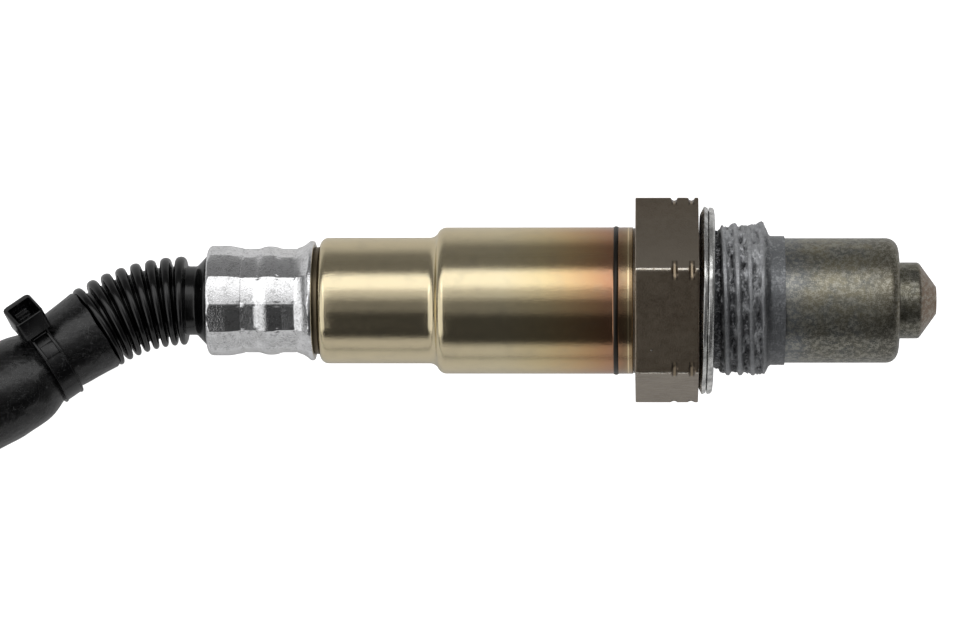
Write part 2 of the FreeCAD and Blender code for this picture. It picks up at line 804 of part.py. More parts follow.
def crimp_jaw():
    """The section of one jaw: flats along the collar, a ridge, and two bands pressed deeper."""
    clear = "(Sizes.flare_radius + Sizes.jaw_clearance)"
    behind = "(Sizes.collar_end - Sizes.jaw_clearance)"
    edge = "(Sizes.crimp_flat + Sizes.crimp_edge)"
    half = "Sizes.crimp_width / 2"
    rear_band = (f"(Sizes.crimp_rear - {half})", f"(Sizes.crimp_rear + {half})")
    front_band = (f"(Sizes.crimp_front - {half})", f"(Sizes.crimp_front + {half})")
    ridge = "(Sizes.crimp_rear + Sizes.crimp_front) / 2"
    return [
        (behind, clear),
        (behind, "Sizes.facet_flat"),
        (f"{rear_band[0]} - Sizes.jaw_slope", "Sizes.facet_flat", "Sizes.facet_round"),
        (rear_band[0], edge),
        (rear_band[0], "Sizes.crimp_flat"),
        (rear_band[1], "Sizes.crimp_flat"),
        (rear_band[1], edge),
        (ridge, "Sizes.ridge_flat", "Sizes.ridge_round"),
        (front_band[0], edge),
        (front_band[0], "Sizes.crimp_flat"),
        (front_band[1], "Sizes.crimp_flat"),
        (front_band[1], edge),
        (f"{front_band[1]} + Sizes.jaw_slope", clear),
    ]


def crimp_collar():
    """The bright collar: flared rim, jaw-pressed flats with two bands, and a turned-in rear end."""
    flare_front = "(Sizes.flare_rim - Sizes.flare_edge)"
    body = turned(
        "crimp_collar",
        [
            ("Sizes.collar_end", "Sizes.collar_lip_bore"),
            ("Sizes.collar_end", "Sizes.collar_radius", "Sizes.collar_round"),
            (FLARE_REAR, "Sizes.collar_radius", "Sizes.flare_round"),
            (flare_front, "Sizes.flare_radius"),
            ("Sizes.flare_rim", "Sizes.flare_radius"),
            ("Sizes.flare_rim", "Sizes.flare_radius - Sizes.collar_wall"),
            (flare_front, "Sizes.flare_radius - Sizes.collar_wall"),
            (FLARE_REAR, CRIMP_BORE),
            ("Sizes.crimp_bore_rear", CRIMP_BORE),
            ("Sizes.crimp_bore_rear - Sizes.crimp_bore_taper", FACET_BORE),
            (LIP_INSIDE, FACET_BORE),
            (LIP_INSIDE, "Sizes.collar_lip_bore"),
        ],
    )
    jaw = new_sketch(body, "jaw", "XZ_Plane")
    add_outline(jaw, crimp_jaw())
    cut = pocketed(body, jaw, "Sizes.crimp_flat * 2", "jaw_cut", midplane=True)
    patterned(body, cut, "Sizes.crimp_flats")
    return body


def wire_grommet():
    """The rubber plug in the collar, with a hole for each lead."""
    thin = f"({NECK_BORE} - Sizes.collar_fit)"
    thick = f"({CRIMP_BORE} - Sizes.collar_fit)"
    step = "(Sizes.neck_tube_end - Sizes.collar_fit)"
    body = turned(
        "wire_grommet",
        [
            (FLANGE_FRONT, "0"),
            (FLANGE_FRONT, thick),
            (step, thick),
            (step, thin),
            ("Sizes.grommet_front", thin),
            ("Sizes.grommet_front", "0"),
        ],
    )
    holes = new_sketch(body, "lead_holes", "YZ_Plane", "Sizes.grommet_front")
    for across, up in lead_places():
        add_circle(holes, across, up, "Sizes.lead_radius + Sizes.lead_fit")
    pocketed(body, holes, f"Sizes.grommet_front - {FLANGE_FRONT}", "lead_holes_cut")
    return body


def boot_hinge():
    """The centre and the axis that the boot's bend turns about."""
    roll = math.radians(size("boot_bend_roll"))
    inward = V(0, -math.cos(roll), math.sin(roll))
    centre = V(size("boot_bend_start"), 0, 0) + inward * boot_bend_radius()
    return centre, V(0, math.sin(roll), math.cos(roll))


def boot_turn(angle):
    """The turn that carries the straight boot axis round its bend."""
    centre, axis = boot_hinge()
    return FreeCAD.Placement(V(), FreeCAD.Rotation(axis, angle), centre)


def boot_bend_length():
    first = size("boot_first_ring")
    return 2 * first + (size("boot_rings") - 1) * size("boot_ring_pitch")


def boot_bend_radius():
    return boot_bend_length() / math.radians(size("boot_bend"))


def bent_bar(radius, front, offset=(0, 0)):
    """A round bar along the boot's axis: straight from front, round the bend and into the spigot."""
    start = size("boot_bend_start")
    across, up = offset
    straight = Part.makeCylinder(radius, front - start, V(start, across, up), V(1, 0, 0))
    circle = Part.Circle(V(start, across, up), V(-1, 0, 0), radius)
    disc = Part.Face(Part.Wire(circle.toShape()))
    bend = disc.revolve(*boot_hinge(), size("boot_bend"))
    end = Part.makeCylinder(radius, size("boot_spigot"), V(start, across, up), V(-1, 0, 0))
    end.Placement = boot_turn(size("boot_bend"))
    return straight.fuse([bend, end]).removeSplitter()


def turned_shape(corners):
    """A solid turned about X from (station, radius) points."""
    points = [V(station, 0, radius) for station, radius in corners]
    wire = Part.makePolygon(points + points[:1])
    return Part.Face(wire).revolve(V(), V(1, 0, 0), TURN)


def boot_ring():
    """One ring of the boot with sloped edges, whole to its middle, at the start of the bend."""
    start = size("boot_bend_start")
    crown = size("boot_ring_width") / 2
    flat = size("boot_ring_flat") / 2
    top = size("boot_ring_radius")
    shoulder = top - size("boot_ring_slope")
    return turned_shape(
        [
            (start - crown, 0),
            (start - crown, shoulder),
            (start - flat, top),
            (start + flat, top),
            (start + crown, shoulder),
            (start + crown, 0),
        ]
    )


def boot_valley(here, there):
    """The straight stub of wall between two points of the boot's axis."""
    along = there - here
    return Part.makeCylinder(size("boot_valley_radius"), along.Length, here, along)


def bellows_boot():
    """The moulded boot: flange in the collar, neck, eight rings round a bend, and a spigot."""
    flange_front = value(FLANGE_FRONT)
    flange = value(FLANGE_RADIUS)
    lip_inside = value(LIP_INSIDE)
    collar_end = size("collar_end")
    valley = size("boot_valley_radius")
    lip = size("boot_lip_radius")
    start = V(size("boot_bend_start"), 0, 0)
    cone_end = collar_end - size("boot_cone_length")
    root = turned_shape(
        [
            (flange_front, 0),
            (flange_front, flange),
            (lip_inside, flange),
            (lip_inside, lip),
            (collar_end, lip),
            (cone_end, valley),
            (start.x, valley),
            (start.x, 0),
        ]
    )
    parts = []
    here = start
    for ring in range(int(size("boot_rings"))):
        along = size("boot_first_ring") + ring * size("boot_ring_pitch")
        turn = boot_turn(math.degrees(along / boot_bend_radius()))
        bead = boot_ring()
        bead.Placement = turn
        there = turn.multVec(start)
        parts += [bead, boot_valley(here, there)]
        here = there
    whole = boot_turn(size("boot_bend"))
    there = whole.multVec(start + V(-size("boot_spigot"), 0, 0))
    parts.append(boot_valley(here, whole.multVec(start)))
    parts.append(boot_valley(whole.multVec(start), there))
    shape = root.fuse(parts).removeSplitter()
    return feature_from("bellows_boot", shape.cut(bent_bar(size("boot_bore"), flange_front)))


def sensor_leads():
    """The leads from the contacts through the grommet and the boot to the hose."""
    leads = []
    for colour, (across, up) in zip(LEAD_COLOURS, lead_places()):
        offset = (value(across), value(up))
        shape = bent_bar(size("lead_radius"), value(CONTACT_END), offset)
        leads.append(feature_from(f"sensor_lead_{colour}", shape))
    return leads


LEAD_COLOURS = ("grey", "white", "black", "yellow", "red")


def rest_placement():
    """Lays the sensor on the rear edge of a hexagon flat and on whatever behind it touches first."""
    flat = size("hex_across_flats") / 2
    edge = value(HEX_REAR)
    supports = [
        (value(STEP_FRONT), size("sleeve_radius"), 0),
        (size("small_sleeve_end"), size("small_sleeve_radius"), size("small_sleeve_round")),
        (size("collar_end"), size("collar_radius"), size("collar_round")),
    ]
    tilts = []
    for station, radius, corner in supports:
        along = edge - (station + corner)
        drop = flat - (radius - corner)
        reach = math.hypot(along, drop)
        tilts.append(math.atan2(drop, along) - math.asin(corner / reach))
    tilt = min(tilts)
    height = flat * math.cos(tilt) - edge * math.sin(tilt)
    rear = size("collar_end") * math.cos(tilt) - size("collar_lip_bore") * math.sin(tilt)
    tip = size("inner_tube_tip") * math.cos(tilt) + size("inner_tip_radius") * math.sin(tilt)
    turn = FreeCAD.Rotation(V(0, 1, 0), -math.degrees(tilt))
    return FreeCAD.Placement(V(-(rear + tip) / 2, 0, height), turn)


def round_path(points):
    """Straight runs joined by tangent arcs, each as large as its two runs allow."""
    edges = []
    here = points[0]
    for before, corner, after in zip(points, points[1:], points[2:]):
        back = before - corner
        ahead = after - corner
        turn = math.pi - back.getAngle(ahead)
        reach = 0.45 * min(back.Length, ahead.Length)
        radius = reach / math.tan(turn / 2)
        print(f"  turn {math.degrees(turn):5.1f} degrees, radius {radius:6.1f} mm")
        enter = corner + V(back).normalize() * reach
        leave = corner + V(ahead).normalize() * reach
        inward = (V(back).normalize() + V(ahead).normalize()).normalize()
        centre = corner + inward * math.hypot(radius, reach)
        middle = centre - inward * radius
        edges.append(Part.LineSegment(here, enter).toShape())
        edges.append(Part.Arc(enter, middle, leave).toShape())
        here = leave
    edges.append(Part.LineSegment(here, points[-1]).toShape())
    return Part.Wire(edges)


def tube_along(points, radius):
    """A round solid along a path, checked against its section times its length."""
    path = round_path(points)
    heading = points[1] - points[0]
    section = Part.Wire(Part.Circle(points[0], heading, radius).toShape())
    solid = path.makePipeShell([section], True, True)
    expected = math.pi * radius**2 * path.Length
    print(f"  length {path.Length:.1f} mm, volume over section times length", end=" ")
    print(f"{solid.Volume / expected:.4f}")
    return solid


# The hose's route: how far each point lies from the boot's end along X and Y, and its height.
# The first two points come from the boot, so that the hose leaves it straight.
HOSE_ROUTE = [
    (-55.3, -25.6, 10.6),
    (-87.7, -29.8, 5.3),
    (-121.5, -27.0, 5.3),
    (-155.0, -18.5, 5.3),
    (-189.0, -13.0, 5.3),
    (-219.0, -12.5, 5.3),
]


def boot_end(lying):
    """Where the hose starts and which way it heads."""
    turn = lying.multiply(boot_turn(size("boot_bend")))
    start = turn.multVec(V(size("boot_bend_start"), 0, 0))
    heading = turn.Rotation.multVec(V(-1, 0, 0))
    return turn, start, heading


def hose_points(lying):
    _, start, heading = boot_end(lying)
    second = start + heading * size("hose_first_run")
    rest = [V(start.x + dx, start.y + dy, height) for dx, dy, height in HOSE_ROUTE]
    return [start, second] + rest


def harness_hose(lying):
    """The protective hose: a tube over the boot's spigot, grooved where the tie grips it."""
    print("hose")
    turn, start, _ = boot_end(lying)
    tube = tube_along(hose_points(lying), size("hose_radius"))
    at = size("boot_bend_start")
    backwards = V(-1, 0, 0)
    socket_radius = size("boot_valley_radius") + size("hose_fit")
    socket = Part.makeCylinder(socket_radius, size("boot_spigot"), V(at, 0, 0), backwards)
    front = at - size("tie_station") + size("tie_width") / 2 + size("tie_fit")
    width = size("tie_width") + 2 * size("tie_fit")
    band = Part.makeCylinder(size("hose_radius") + 1, width, V(front, 0, 0), backwards)
    seat = Part.makeCylinder(size("tie_seat_radius"), width, V(front, 0, 0), backwards)
    tools = [socket, band.cut(seat)]
    for tool in tools:
        tool.Placement = turn.multiply(tool.Placement)
    return feature_from("harness_hose", tube.cut(tools))


def cable_tie():
    """The tie round the hose: strap, head with its slot and pawl, and the pad beside the head."""
    at = size("boot_bend_start") - size("tie_station")
    half = size("tie_width") / 2
    inner = size("tie_seat_radius") + size("tie_fit")
    outer = inner + size("tie_thickness")
    strap = turned_shape(
        [(at - half, inner), (at - half, outer), (at + half, outer), (at + half, inner)]
    )
    long = size("tie_head_length")
    wide = size("tie_head_width")
    tall = size("tie_head_height")
    foot = math.sqrt(inner**2 - (wide / 2) ** 2)
    top = inner + tall
    head = Part.makeBox(long, wide, top - foot, V(at - long / 2, -wide / 2, foot))
    upper = [edge for edge in head.Edges if edge.BoundBox.ZMax > foot + 0.1]
    head = head.makeFillet(size("tie_head_round"), upper)
    hose = Part.makeCylinder(
        size("hose_radius") + size("tie_fit"), 2 * long, V(at - long, 0, 0), V(1, 0, 0)
    )
    head = head.cut(hose)
    slot_long = size("tie_slot_length")
    slot_wide = size("tie_slot_width")
    slot_foot = outer + size("tie_slot_floor")
    corner = V(at - slot_long / 2, -slot_wide / 2, slot_foot)
    slot = Part.makeBox(slot_long, slot_wide, tall, corner)
    pawl_foot = V(at - slot_long / 4, -slot_wide / 2, slot_foot)
    pawl_top = pawl_foot + V(0, 0, top - slot_foot - size("tie_pawl_drop"))
    lean = V(0, size("tie_pawl"), 0)
    side = Part.Face(Part.makePolygon([pawl_foot, pawl_foot + lean, pawl_top, pawl_foot]))
    pawl = side.extrude(V(slot_long / 2, 0, 0))
    pad_angle = math.degrees(size("tie_pad_length") / outer)
    pad_outer = outer + size("tie_pad_height")
    pad_half = half - size("tie_pad_inset")
    pad_low = V(at - pad_half, 0, inner + size("tie_thickness") / 2)
    pad_high = V(at - pad_half, 0, pad_outer)
    across = V(2 * pad_half, 0, 0)
    pad_profile = Part.makePolygon(
        [pad_low, pad_high, pad_high + across, pad_low + across, pad_low]
    )
    pad = Part.Face(pad_profile).revolve(V(), V(1, 0, 0), pad_angle)
    turn_to_side = math.degrees(math.atan2(wide / 2, outer)) + 2
    pad.Placement = FreeCAD.Placement(V(), FreeCAD.Rotation(V(1, 0, 0), turn_to_side))
    shape = strap.fuse([head, pad]).cut(slot).fuse(pawl).removeSplitter()
    return feature_from("cable_tie", shape)


def plug_places():
    """Where the leads cross the connector's section: three above and two below."""
    pitch = size("plug_pitch")
    middle = size("plug_height") / 2
    row = size("plug_row_pitch") / 2
    upper = [(across * pitch, middle + row) for across in (-1, 0, 1)]
    lower = [(across * pitch, middle - row) for across in (0.5, -0.5)]
    return [upper[1], upper[2], lower[0], lower[1], upper[0]]


def plug_placement(lying):
    """The connector lies on its underside, in line with the hose's end."""
    points = hose_points(lying)
    heading = points[-1] - points[-2]
    heading = V(heading.x, heading.y, 0).normalize()
    rear = points[-1] + heading * size("plug_gap")
    yaw = math.degrees(math.atan2(heading.y, heading.x))
    return FreeCAD.Placement(V(rear.x, rear.y, 0), FreeCAD.Rotation(V(0, 0, 1), yaw))


def plug_lead_end():
    """How far inside the connector the leads end, at the backs of their pins."""
    return size("seal_recess") + size("lead_stop")


def connector_leads(lying):
    """The bare ends of the leads, from the hose's end into the connector's pins."""
    points = hose_points(lying)
    end = points[-1]
    heading = V(end.x - points[-2].x, end.y - points[-2].y, 0).normalize()
    side = V(-heading.y, heading.x, 0)
    placed = plug_placement(lying)
    leads = []
    for colour, (across, up), (plug_across, plug_up) in zip(
        LEAD_COLOURS, lead_places(), plug_places()
    ):
        start = end + side * value(across) + V(0, 0, value(up))
        inside = placed.multVec(V(plug_lead_end(), plug_across, plug_up))
        entry = -size("cover_thickness") - size("free_lead_entry")
        outside = placed.multVec(V(entry, plug_across, plug_up))
        leaving = start + heading * size("free_lead_start")
        print(f"connector lead {colour}")
        solid = tube_along([start, leaving, outside, inside], size("lead_radius"))
        leads.append(feature_from(f"connector_lead_{colour}", solid))
    return leads


def plug_rectangle(inset):
    """The plug's section, drawn in from its outside by an inset, as expressions."""
    return (
        f"-(Sizes.plug_width / 2 - {inset})",
        f"Sizes.plug_width / 2 - {inset}",
        f"{inset}",
        f"Sizes.plug_height - {inset}",
    )


def block(label, outline, station, length):
    body = doc.addObject("PartDesign::Body", label)
    body.Label = label
    section = new_sketch(body, "section", "YZ_Plane", station)
    add_outline(section, rectangle(*outline))
    padded(body, section, length, "block")
    return body


def lead_ways(body, station, length, radius, name, forwards=False):
    holes = new_sketch(body, name, "YZ_Plane", station)
    for across, up in plug_places():
        add_circle(holes, str(across), str(up), radius)
    pocketed(body, holes, length, f"{name}_cut", forwards=forwards)


def connector_housing():
    """The moulded housing: mating socket, lead ways, seal recess, latch ramp and guide rails."""
    body = block("connector_housing", plug_rectangle("0"), "0", "Sizes.plug_length")
    round_straight(body, "Sizes.plug_round", V(1, 0, 0), lambda middle: True, "long_edges")
    socket = new_sketch(body, "socket", "YZ_Plane", "Sizes.plug_length")
    add_outline(socket, rectangle(*plug_rectangle("Sizes.plug_wall")))
    pocketed(body, socket, "Sizes.socket_depth", "socket_cut")
    recess = new_sketch(body, "seal_recess", "YZ_Plane", "0")
    add_outline(recess, rectangle(*plug_rectangle("(Sizes.plug_wall + Sizes.seal_ledge)")))
    pocketed(body, recess, "Sizes.seal_recess", "seal_recess_cut", forwards=True)
    ways = new_sketch(body, "pin_ways", "YZ_Plane", "Sizes.seal_recess")
    half = "(Sizes.pin_width / 2 + Sizes.pin_fit)"
    rise = "(Sizes.pin_height / 2 + Sizes.pin_fit)"
    for across, up in plug_places():
        add_outline(
            ways,
            rectangle(
                f"{across} - {half}", f"{across} + {half}", f"{up} - {rise}", f"{up} + {rise}"
            ),
        )
    pocketed(
        body,
        ways,
        "Sizes.plug_length - Sizes.socket_depth - Sizes.seal_recess",
        "pin_ways_cut",
        forwards=True,
    )
    lead_hole = "Sizes.lead_radius + Sizes.lead_fit"
    lead_ways(
        body, "Sizes.seal_recess", "Sizes.lead_stop", lead_hole, "crimp_ways", forwards=True
    )
    top = "Sizes.plug_height"
    root = f"({top} - Sizes.moulded_root)"
    rails = new_sketch(body, "rails", "XY_Plane", root)
    for sign in ("", "-"):
        near = f"{sign}(Sizes.rail_offset)"
        far = f"{sign}(Sizes.rail_offset + Sizes.rail_width)"
        add_outline(
            rails,
            rectangle("Sizes.plug_length - Sizes.rail_length", "Sizes.plug_length", near, far),
        )
    padded(body, rails, "Sizes.rail_height + Sizes.moulded_root", "rails_pad")
    ramp = new_sketch(body, "latch_ramp", "XZ_Plane")
    add_outline(
        ramp,
        [
            ("Sizes.latch_station", root),
            ("Sizes.latch_station", f"{top} + Sizes.latch_height"),
            ("Sizes.latch_station + Sizes.latch_crest", f"{top} + Sizes.latch_height"),
            ("Sizes.latch_station + Sizes.latch_length", f"{top} - Sizes.latch_toe"),
            ("Sizes.latch_station + Sizes.latch_length", root),
        ],
    )
    pad = padded(body, ramp, "Sizes.latch_width", "latch_ramp_pad")
    pad.Midplane = True
    lock = new_sketch(body, "lock_slot", "XY_Plane", "Sizes.plug_height")
    half_lock = "(Sizes.lock_width / 2 + Sizes.lock_fit)"
    add_outline(
        lock,
        rectangle(
            "Sizes.lock_station - Sizes.lock_fit",
            "Sizes.lock_station + Sizes.lock_length + Sizes.lock_fit",
            f"-{half_lock}",
            half_lock,
        ),
    )
    pocketed(body, lock, "Sizes.lock_depth", "lock_slot_cut")
    return body


def connector_trim():
    """The seal mat, the rear cover that keeps it, the secondary lock and the pins."""
    pieces = []
    lead_hole = "Sizes.lead_radius + Sizes.lead_fit"
    seal = block(
        "wire_seal",
        plug_rectangle("(Sizes.plug_wall + Sizes.seal_ledge + Sizes.seal_fit)"),
        "Sizes.seal_recess - Sizes.seal_length",
        "Sizes.seal_length",
    )
    lead_ways(seal, "Sizes.seal_recess", "Sizes.seal_length", lead_hole, "lead_holes")
    pieces.append(seal)
    cover = block(
        "connector_rear_cover",
        plug_rectangle("Sizes.cover_inset"),
        "-Sizes.cover_thickness",
        "Sizes.cover_thickness",
    )
    cover_round = "Sizes.plug_round - Sizes.cover_inset"
    round_straight(cover, cover_round, V(1, 0, 0), lambda middle: True, "long_edges")
    cover_hole = f"{lead_hole} + Sizes.cover_way_fit"
    lead_ways(cover, "0", "Sizes.cover_thickness", cover_hole, "lead_holes")
    pieces.append(cover)
    lock = doc.addObject("PartDesign::Body", "secondary_lock")
    lock.Label = "secondary_lock"
    bar = new_sketch(lock, "bar", "XY_Plane", "Sizes.plug_height - Sizes.lock_depth")
    add_outline(
        bar,
        rectangle(
            "Sizes.lock_station",
            "Sizes.lock_station + Sizes.lock_length",
            "-Sizes.lock_width / 2",
            "Sizes.lock_width / 2",
        ),
    )
    padded(lock, bar, "Sizes.lock_depth - Sizes.lock_inset", "bar_pad")
    pieces.append(lock)
    for number, (across, up) in enumerate(plug_places(), start=1):
        pin = doc.addObject("PartDesign::Body", f"terminal_pin_{number}")
        pin.Label = f"terminal_pin_{number}"
        side = new_sketch(pin, "side", "XZ_Plane", f"-({across})")
        rear = str(plug_lead_end())
        front = "(Sizes.plug_length - Sizes.socket_depth + Sizes.pin_reach)"
        rise = "(Sizes.pin_height / 2)"
        add_outline(
            side,
            [
                (rear, f"{up} - {rise}"),
                (f"{front} - Sizes.pin_tip", f"{up} - {rise}"),
                (front, f"{up} - {rise} / 2"),
                (front, f"{up} + {rise} / 2"),
                (f"{front} - Sizes.pin_tip", f"{up} + {rise}"),
                (rear, f"{up} + {rise}"),
            ],
        )
        pad = padded(pin, side, "Sizes.pin_width", "blade")
        pad.Midplane = True
        pieces.append(pin)
    return pieces


def main():
    housing = sensor_housing()
    washer = crush_washer()
    collar = crimp_collar()
    along_axis = [
        housing,
        outer_protection_tube(),
        inner_protection_tube(),
        sensing_element(),
        *ceramic_packing(),
        *contact_holder(),
        *contact_strips(),
        protective_sleeve(),
        wire_grommet(),
        bellows_boot(),
        *sensor_leads(),
    ]
    lying = rest_placement()
    tie = cable_tie()
    hose = harness_hose(lying)
    in_plug = [connector_housing(), *connector_trim()]
    free_leads = connector_leads(lying)
    doc.recompute()
    for piece in along_axis:
        piece.Placement = lying
    middle = V(-size("washer_thickness") / 2, 0, 0)
    cocked = FreeCAD.Placement(V(), FreeCAD.Rotation(V(0, 0, 1), size("washer_tilt")), middle)
    washer.Placement = lying.multiply(cocked)
    rolled = FreeCAD.Placement(V(), FreeCAD.Rotation(V(1, 0, 0), size("crimp_roll")))
    collar.Placement = lying.multiply(rolled)
    head_roll = FreeCAD.Placement(V(), FreeCAD.Rotation(V(1, 0, 0), size("tie_head_roll")))
    tie.Placement = boot_end(lying)[0].multiply(head_roll)
    plugged = plug_placement(lying)
    for piece in in_plug:
        piece.Placement = plugged
    doc.recompute()
    for item in doc.Objects:
        if {"Invalid", "Error"} & set(item.State):
            raise RuntimeError(f"{item.Label} failed: {item.State}")
    nodes = along_axis + [washer, collar, tie, hose] + in_plug + free_leads
    os.makedirs("parts", exist_ok=True)
    for node in nodes:
        shape = node.Shape
        if shape.isNull() or not shape.isValid() or not shape.Solids:
            raise RuntimeError(f"{node.Label} has no valid shape")
        shape.exportStep(f"parts/{node.Label}.step")
        box = shape.BoundBox
        print(
            f"{node.Label:26s} {len(shape.Solids)} solid {shape.Volume:9.2f} mm3",
            f"x {box.XMin:8.2f} {box.XMax:8.2f} y {box.YMin:7.2f} {box.YMax:7.2f}",
            f"z {box.ZMin:7.2f} {box.ZMax:7.2f}",
        )
    print(f"{len(nodes)} nodes")


main()
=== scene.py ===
"""Looks of an oxygen sensor that lies on a pale surface with its boot, hose and connector.

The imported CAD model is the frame. Lengths named in millimetres are in the sensor's own axes, where X
runs towards the exhaust end and X = 0 is the front face of the crush washer.
"""

from __future__ import annotations

import json
import logging
import math
from collections.abc import Callable, Iterable, Sequence
from dataclasses import dataclass, field
from enum import Enum

import bmesh
import bpy
from mathutils import Matrix, Vector, noise

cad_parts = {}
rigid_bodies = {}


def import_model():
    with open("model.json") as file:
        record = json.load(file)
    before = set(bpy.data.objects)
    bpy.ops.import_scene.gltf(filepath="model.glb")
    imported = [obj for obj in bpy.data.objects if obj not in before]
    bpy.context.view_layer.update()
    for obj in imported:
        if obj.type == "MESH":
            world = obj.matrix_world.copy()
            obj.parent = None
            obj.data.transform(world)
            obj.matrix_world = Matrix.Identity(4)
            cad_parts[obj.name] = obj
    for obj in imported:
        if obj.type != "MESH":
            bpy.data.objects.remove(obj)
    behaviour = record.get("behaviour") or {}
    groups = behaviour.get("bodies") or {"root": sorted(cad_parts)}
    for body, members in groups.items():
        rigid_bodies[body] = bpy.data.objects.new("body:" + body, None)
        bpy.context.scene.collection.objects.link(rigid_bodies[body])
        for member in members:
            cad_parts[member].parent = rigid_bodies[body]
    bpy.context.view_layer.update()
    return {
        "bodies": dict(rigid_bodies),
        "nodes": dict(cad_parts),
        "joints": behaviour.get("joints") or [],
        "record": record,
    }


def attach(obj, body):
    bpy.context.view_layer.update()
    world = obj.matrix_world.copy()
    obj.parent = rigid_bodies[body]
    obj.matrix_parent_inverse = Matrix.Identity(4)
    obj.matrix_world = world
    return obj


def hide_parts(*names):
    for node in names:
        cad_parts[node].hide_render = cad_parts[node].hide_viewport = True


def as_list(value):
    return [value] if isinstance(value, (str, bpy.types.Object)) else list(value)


LOG = logging.getLogger("oxygen_sensor")
MM = 0.001
FULL_TURN = 2.0 * math.pi
X_AXIS = Vector((1.0, 0.0, 0.0))

# How the sensor lies: its axis rises towards the tip, from the CAD model's resting place
REST_TILT = math.radians(4.8145)
REST_PLACE = Vector((17.6961, 0.0, 11.7720)) * MM
LYING = Matrix.Translation(REST_PLACE) @ Matrix.Rotation(-REST_TILT, 4, "Y") @ Matrix.Scale(MM, 4)

# How far the camera leans from the vertical, and the picture's upward direction in shares of Y and Z
CAMERA_LEAN = math.radians(13.1)
UPWARDS = (0.974, -0.227)

# Places along the sensor that both the shapes and the finishes use, in millimetres
WELD = -11.97
SLEEVE_REAR = -47.6
NOTCHES = (-5.0, -2.956)

Colour = tuple[float, float, float]
Socket = bpy.types.NodeSocket


class Slot(Enum):
    """The record's material slots, which no piece here takes its finish from."""

    DARK_STEEL = "dark_steel"
    WASHER_STEEL = "washer_steel"
    SLEEVE_STEEL = "sleeve_steel"
    BRIGHT_STEEL = "bright_steel"
    BOOT_RUBBER = "boot_rubber"
    HOSE_RUBBER = "hose_rubber"
    TIE_PLASTIC = "tie_plastic"
    CONNECTOR_PLASTIC = "connector_plastic"
    LOCK_PLASTIC = "lock_plastic"


# Shader helpers


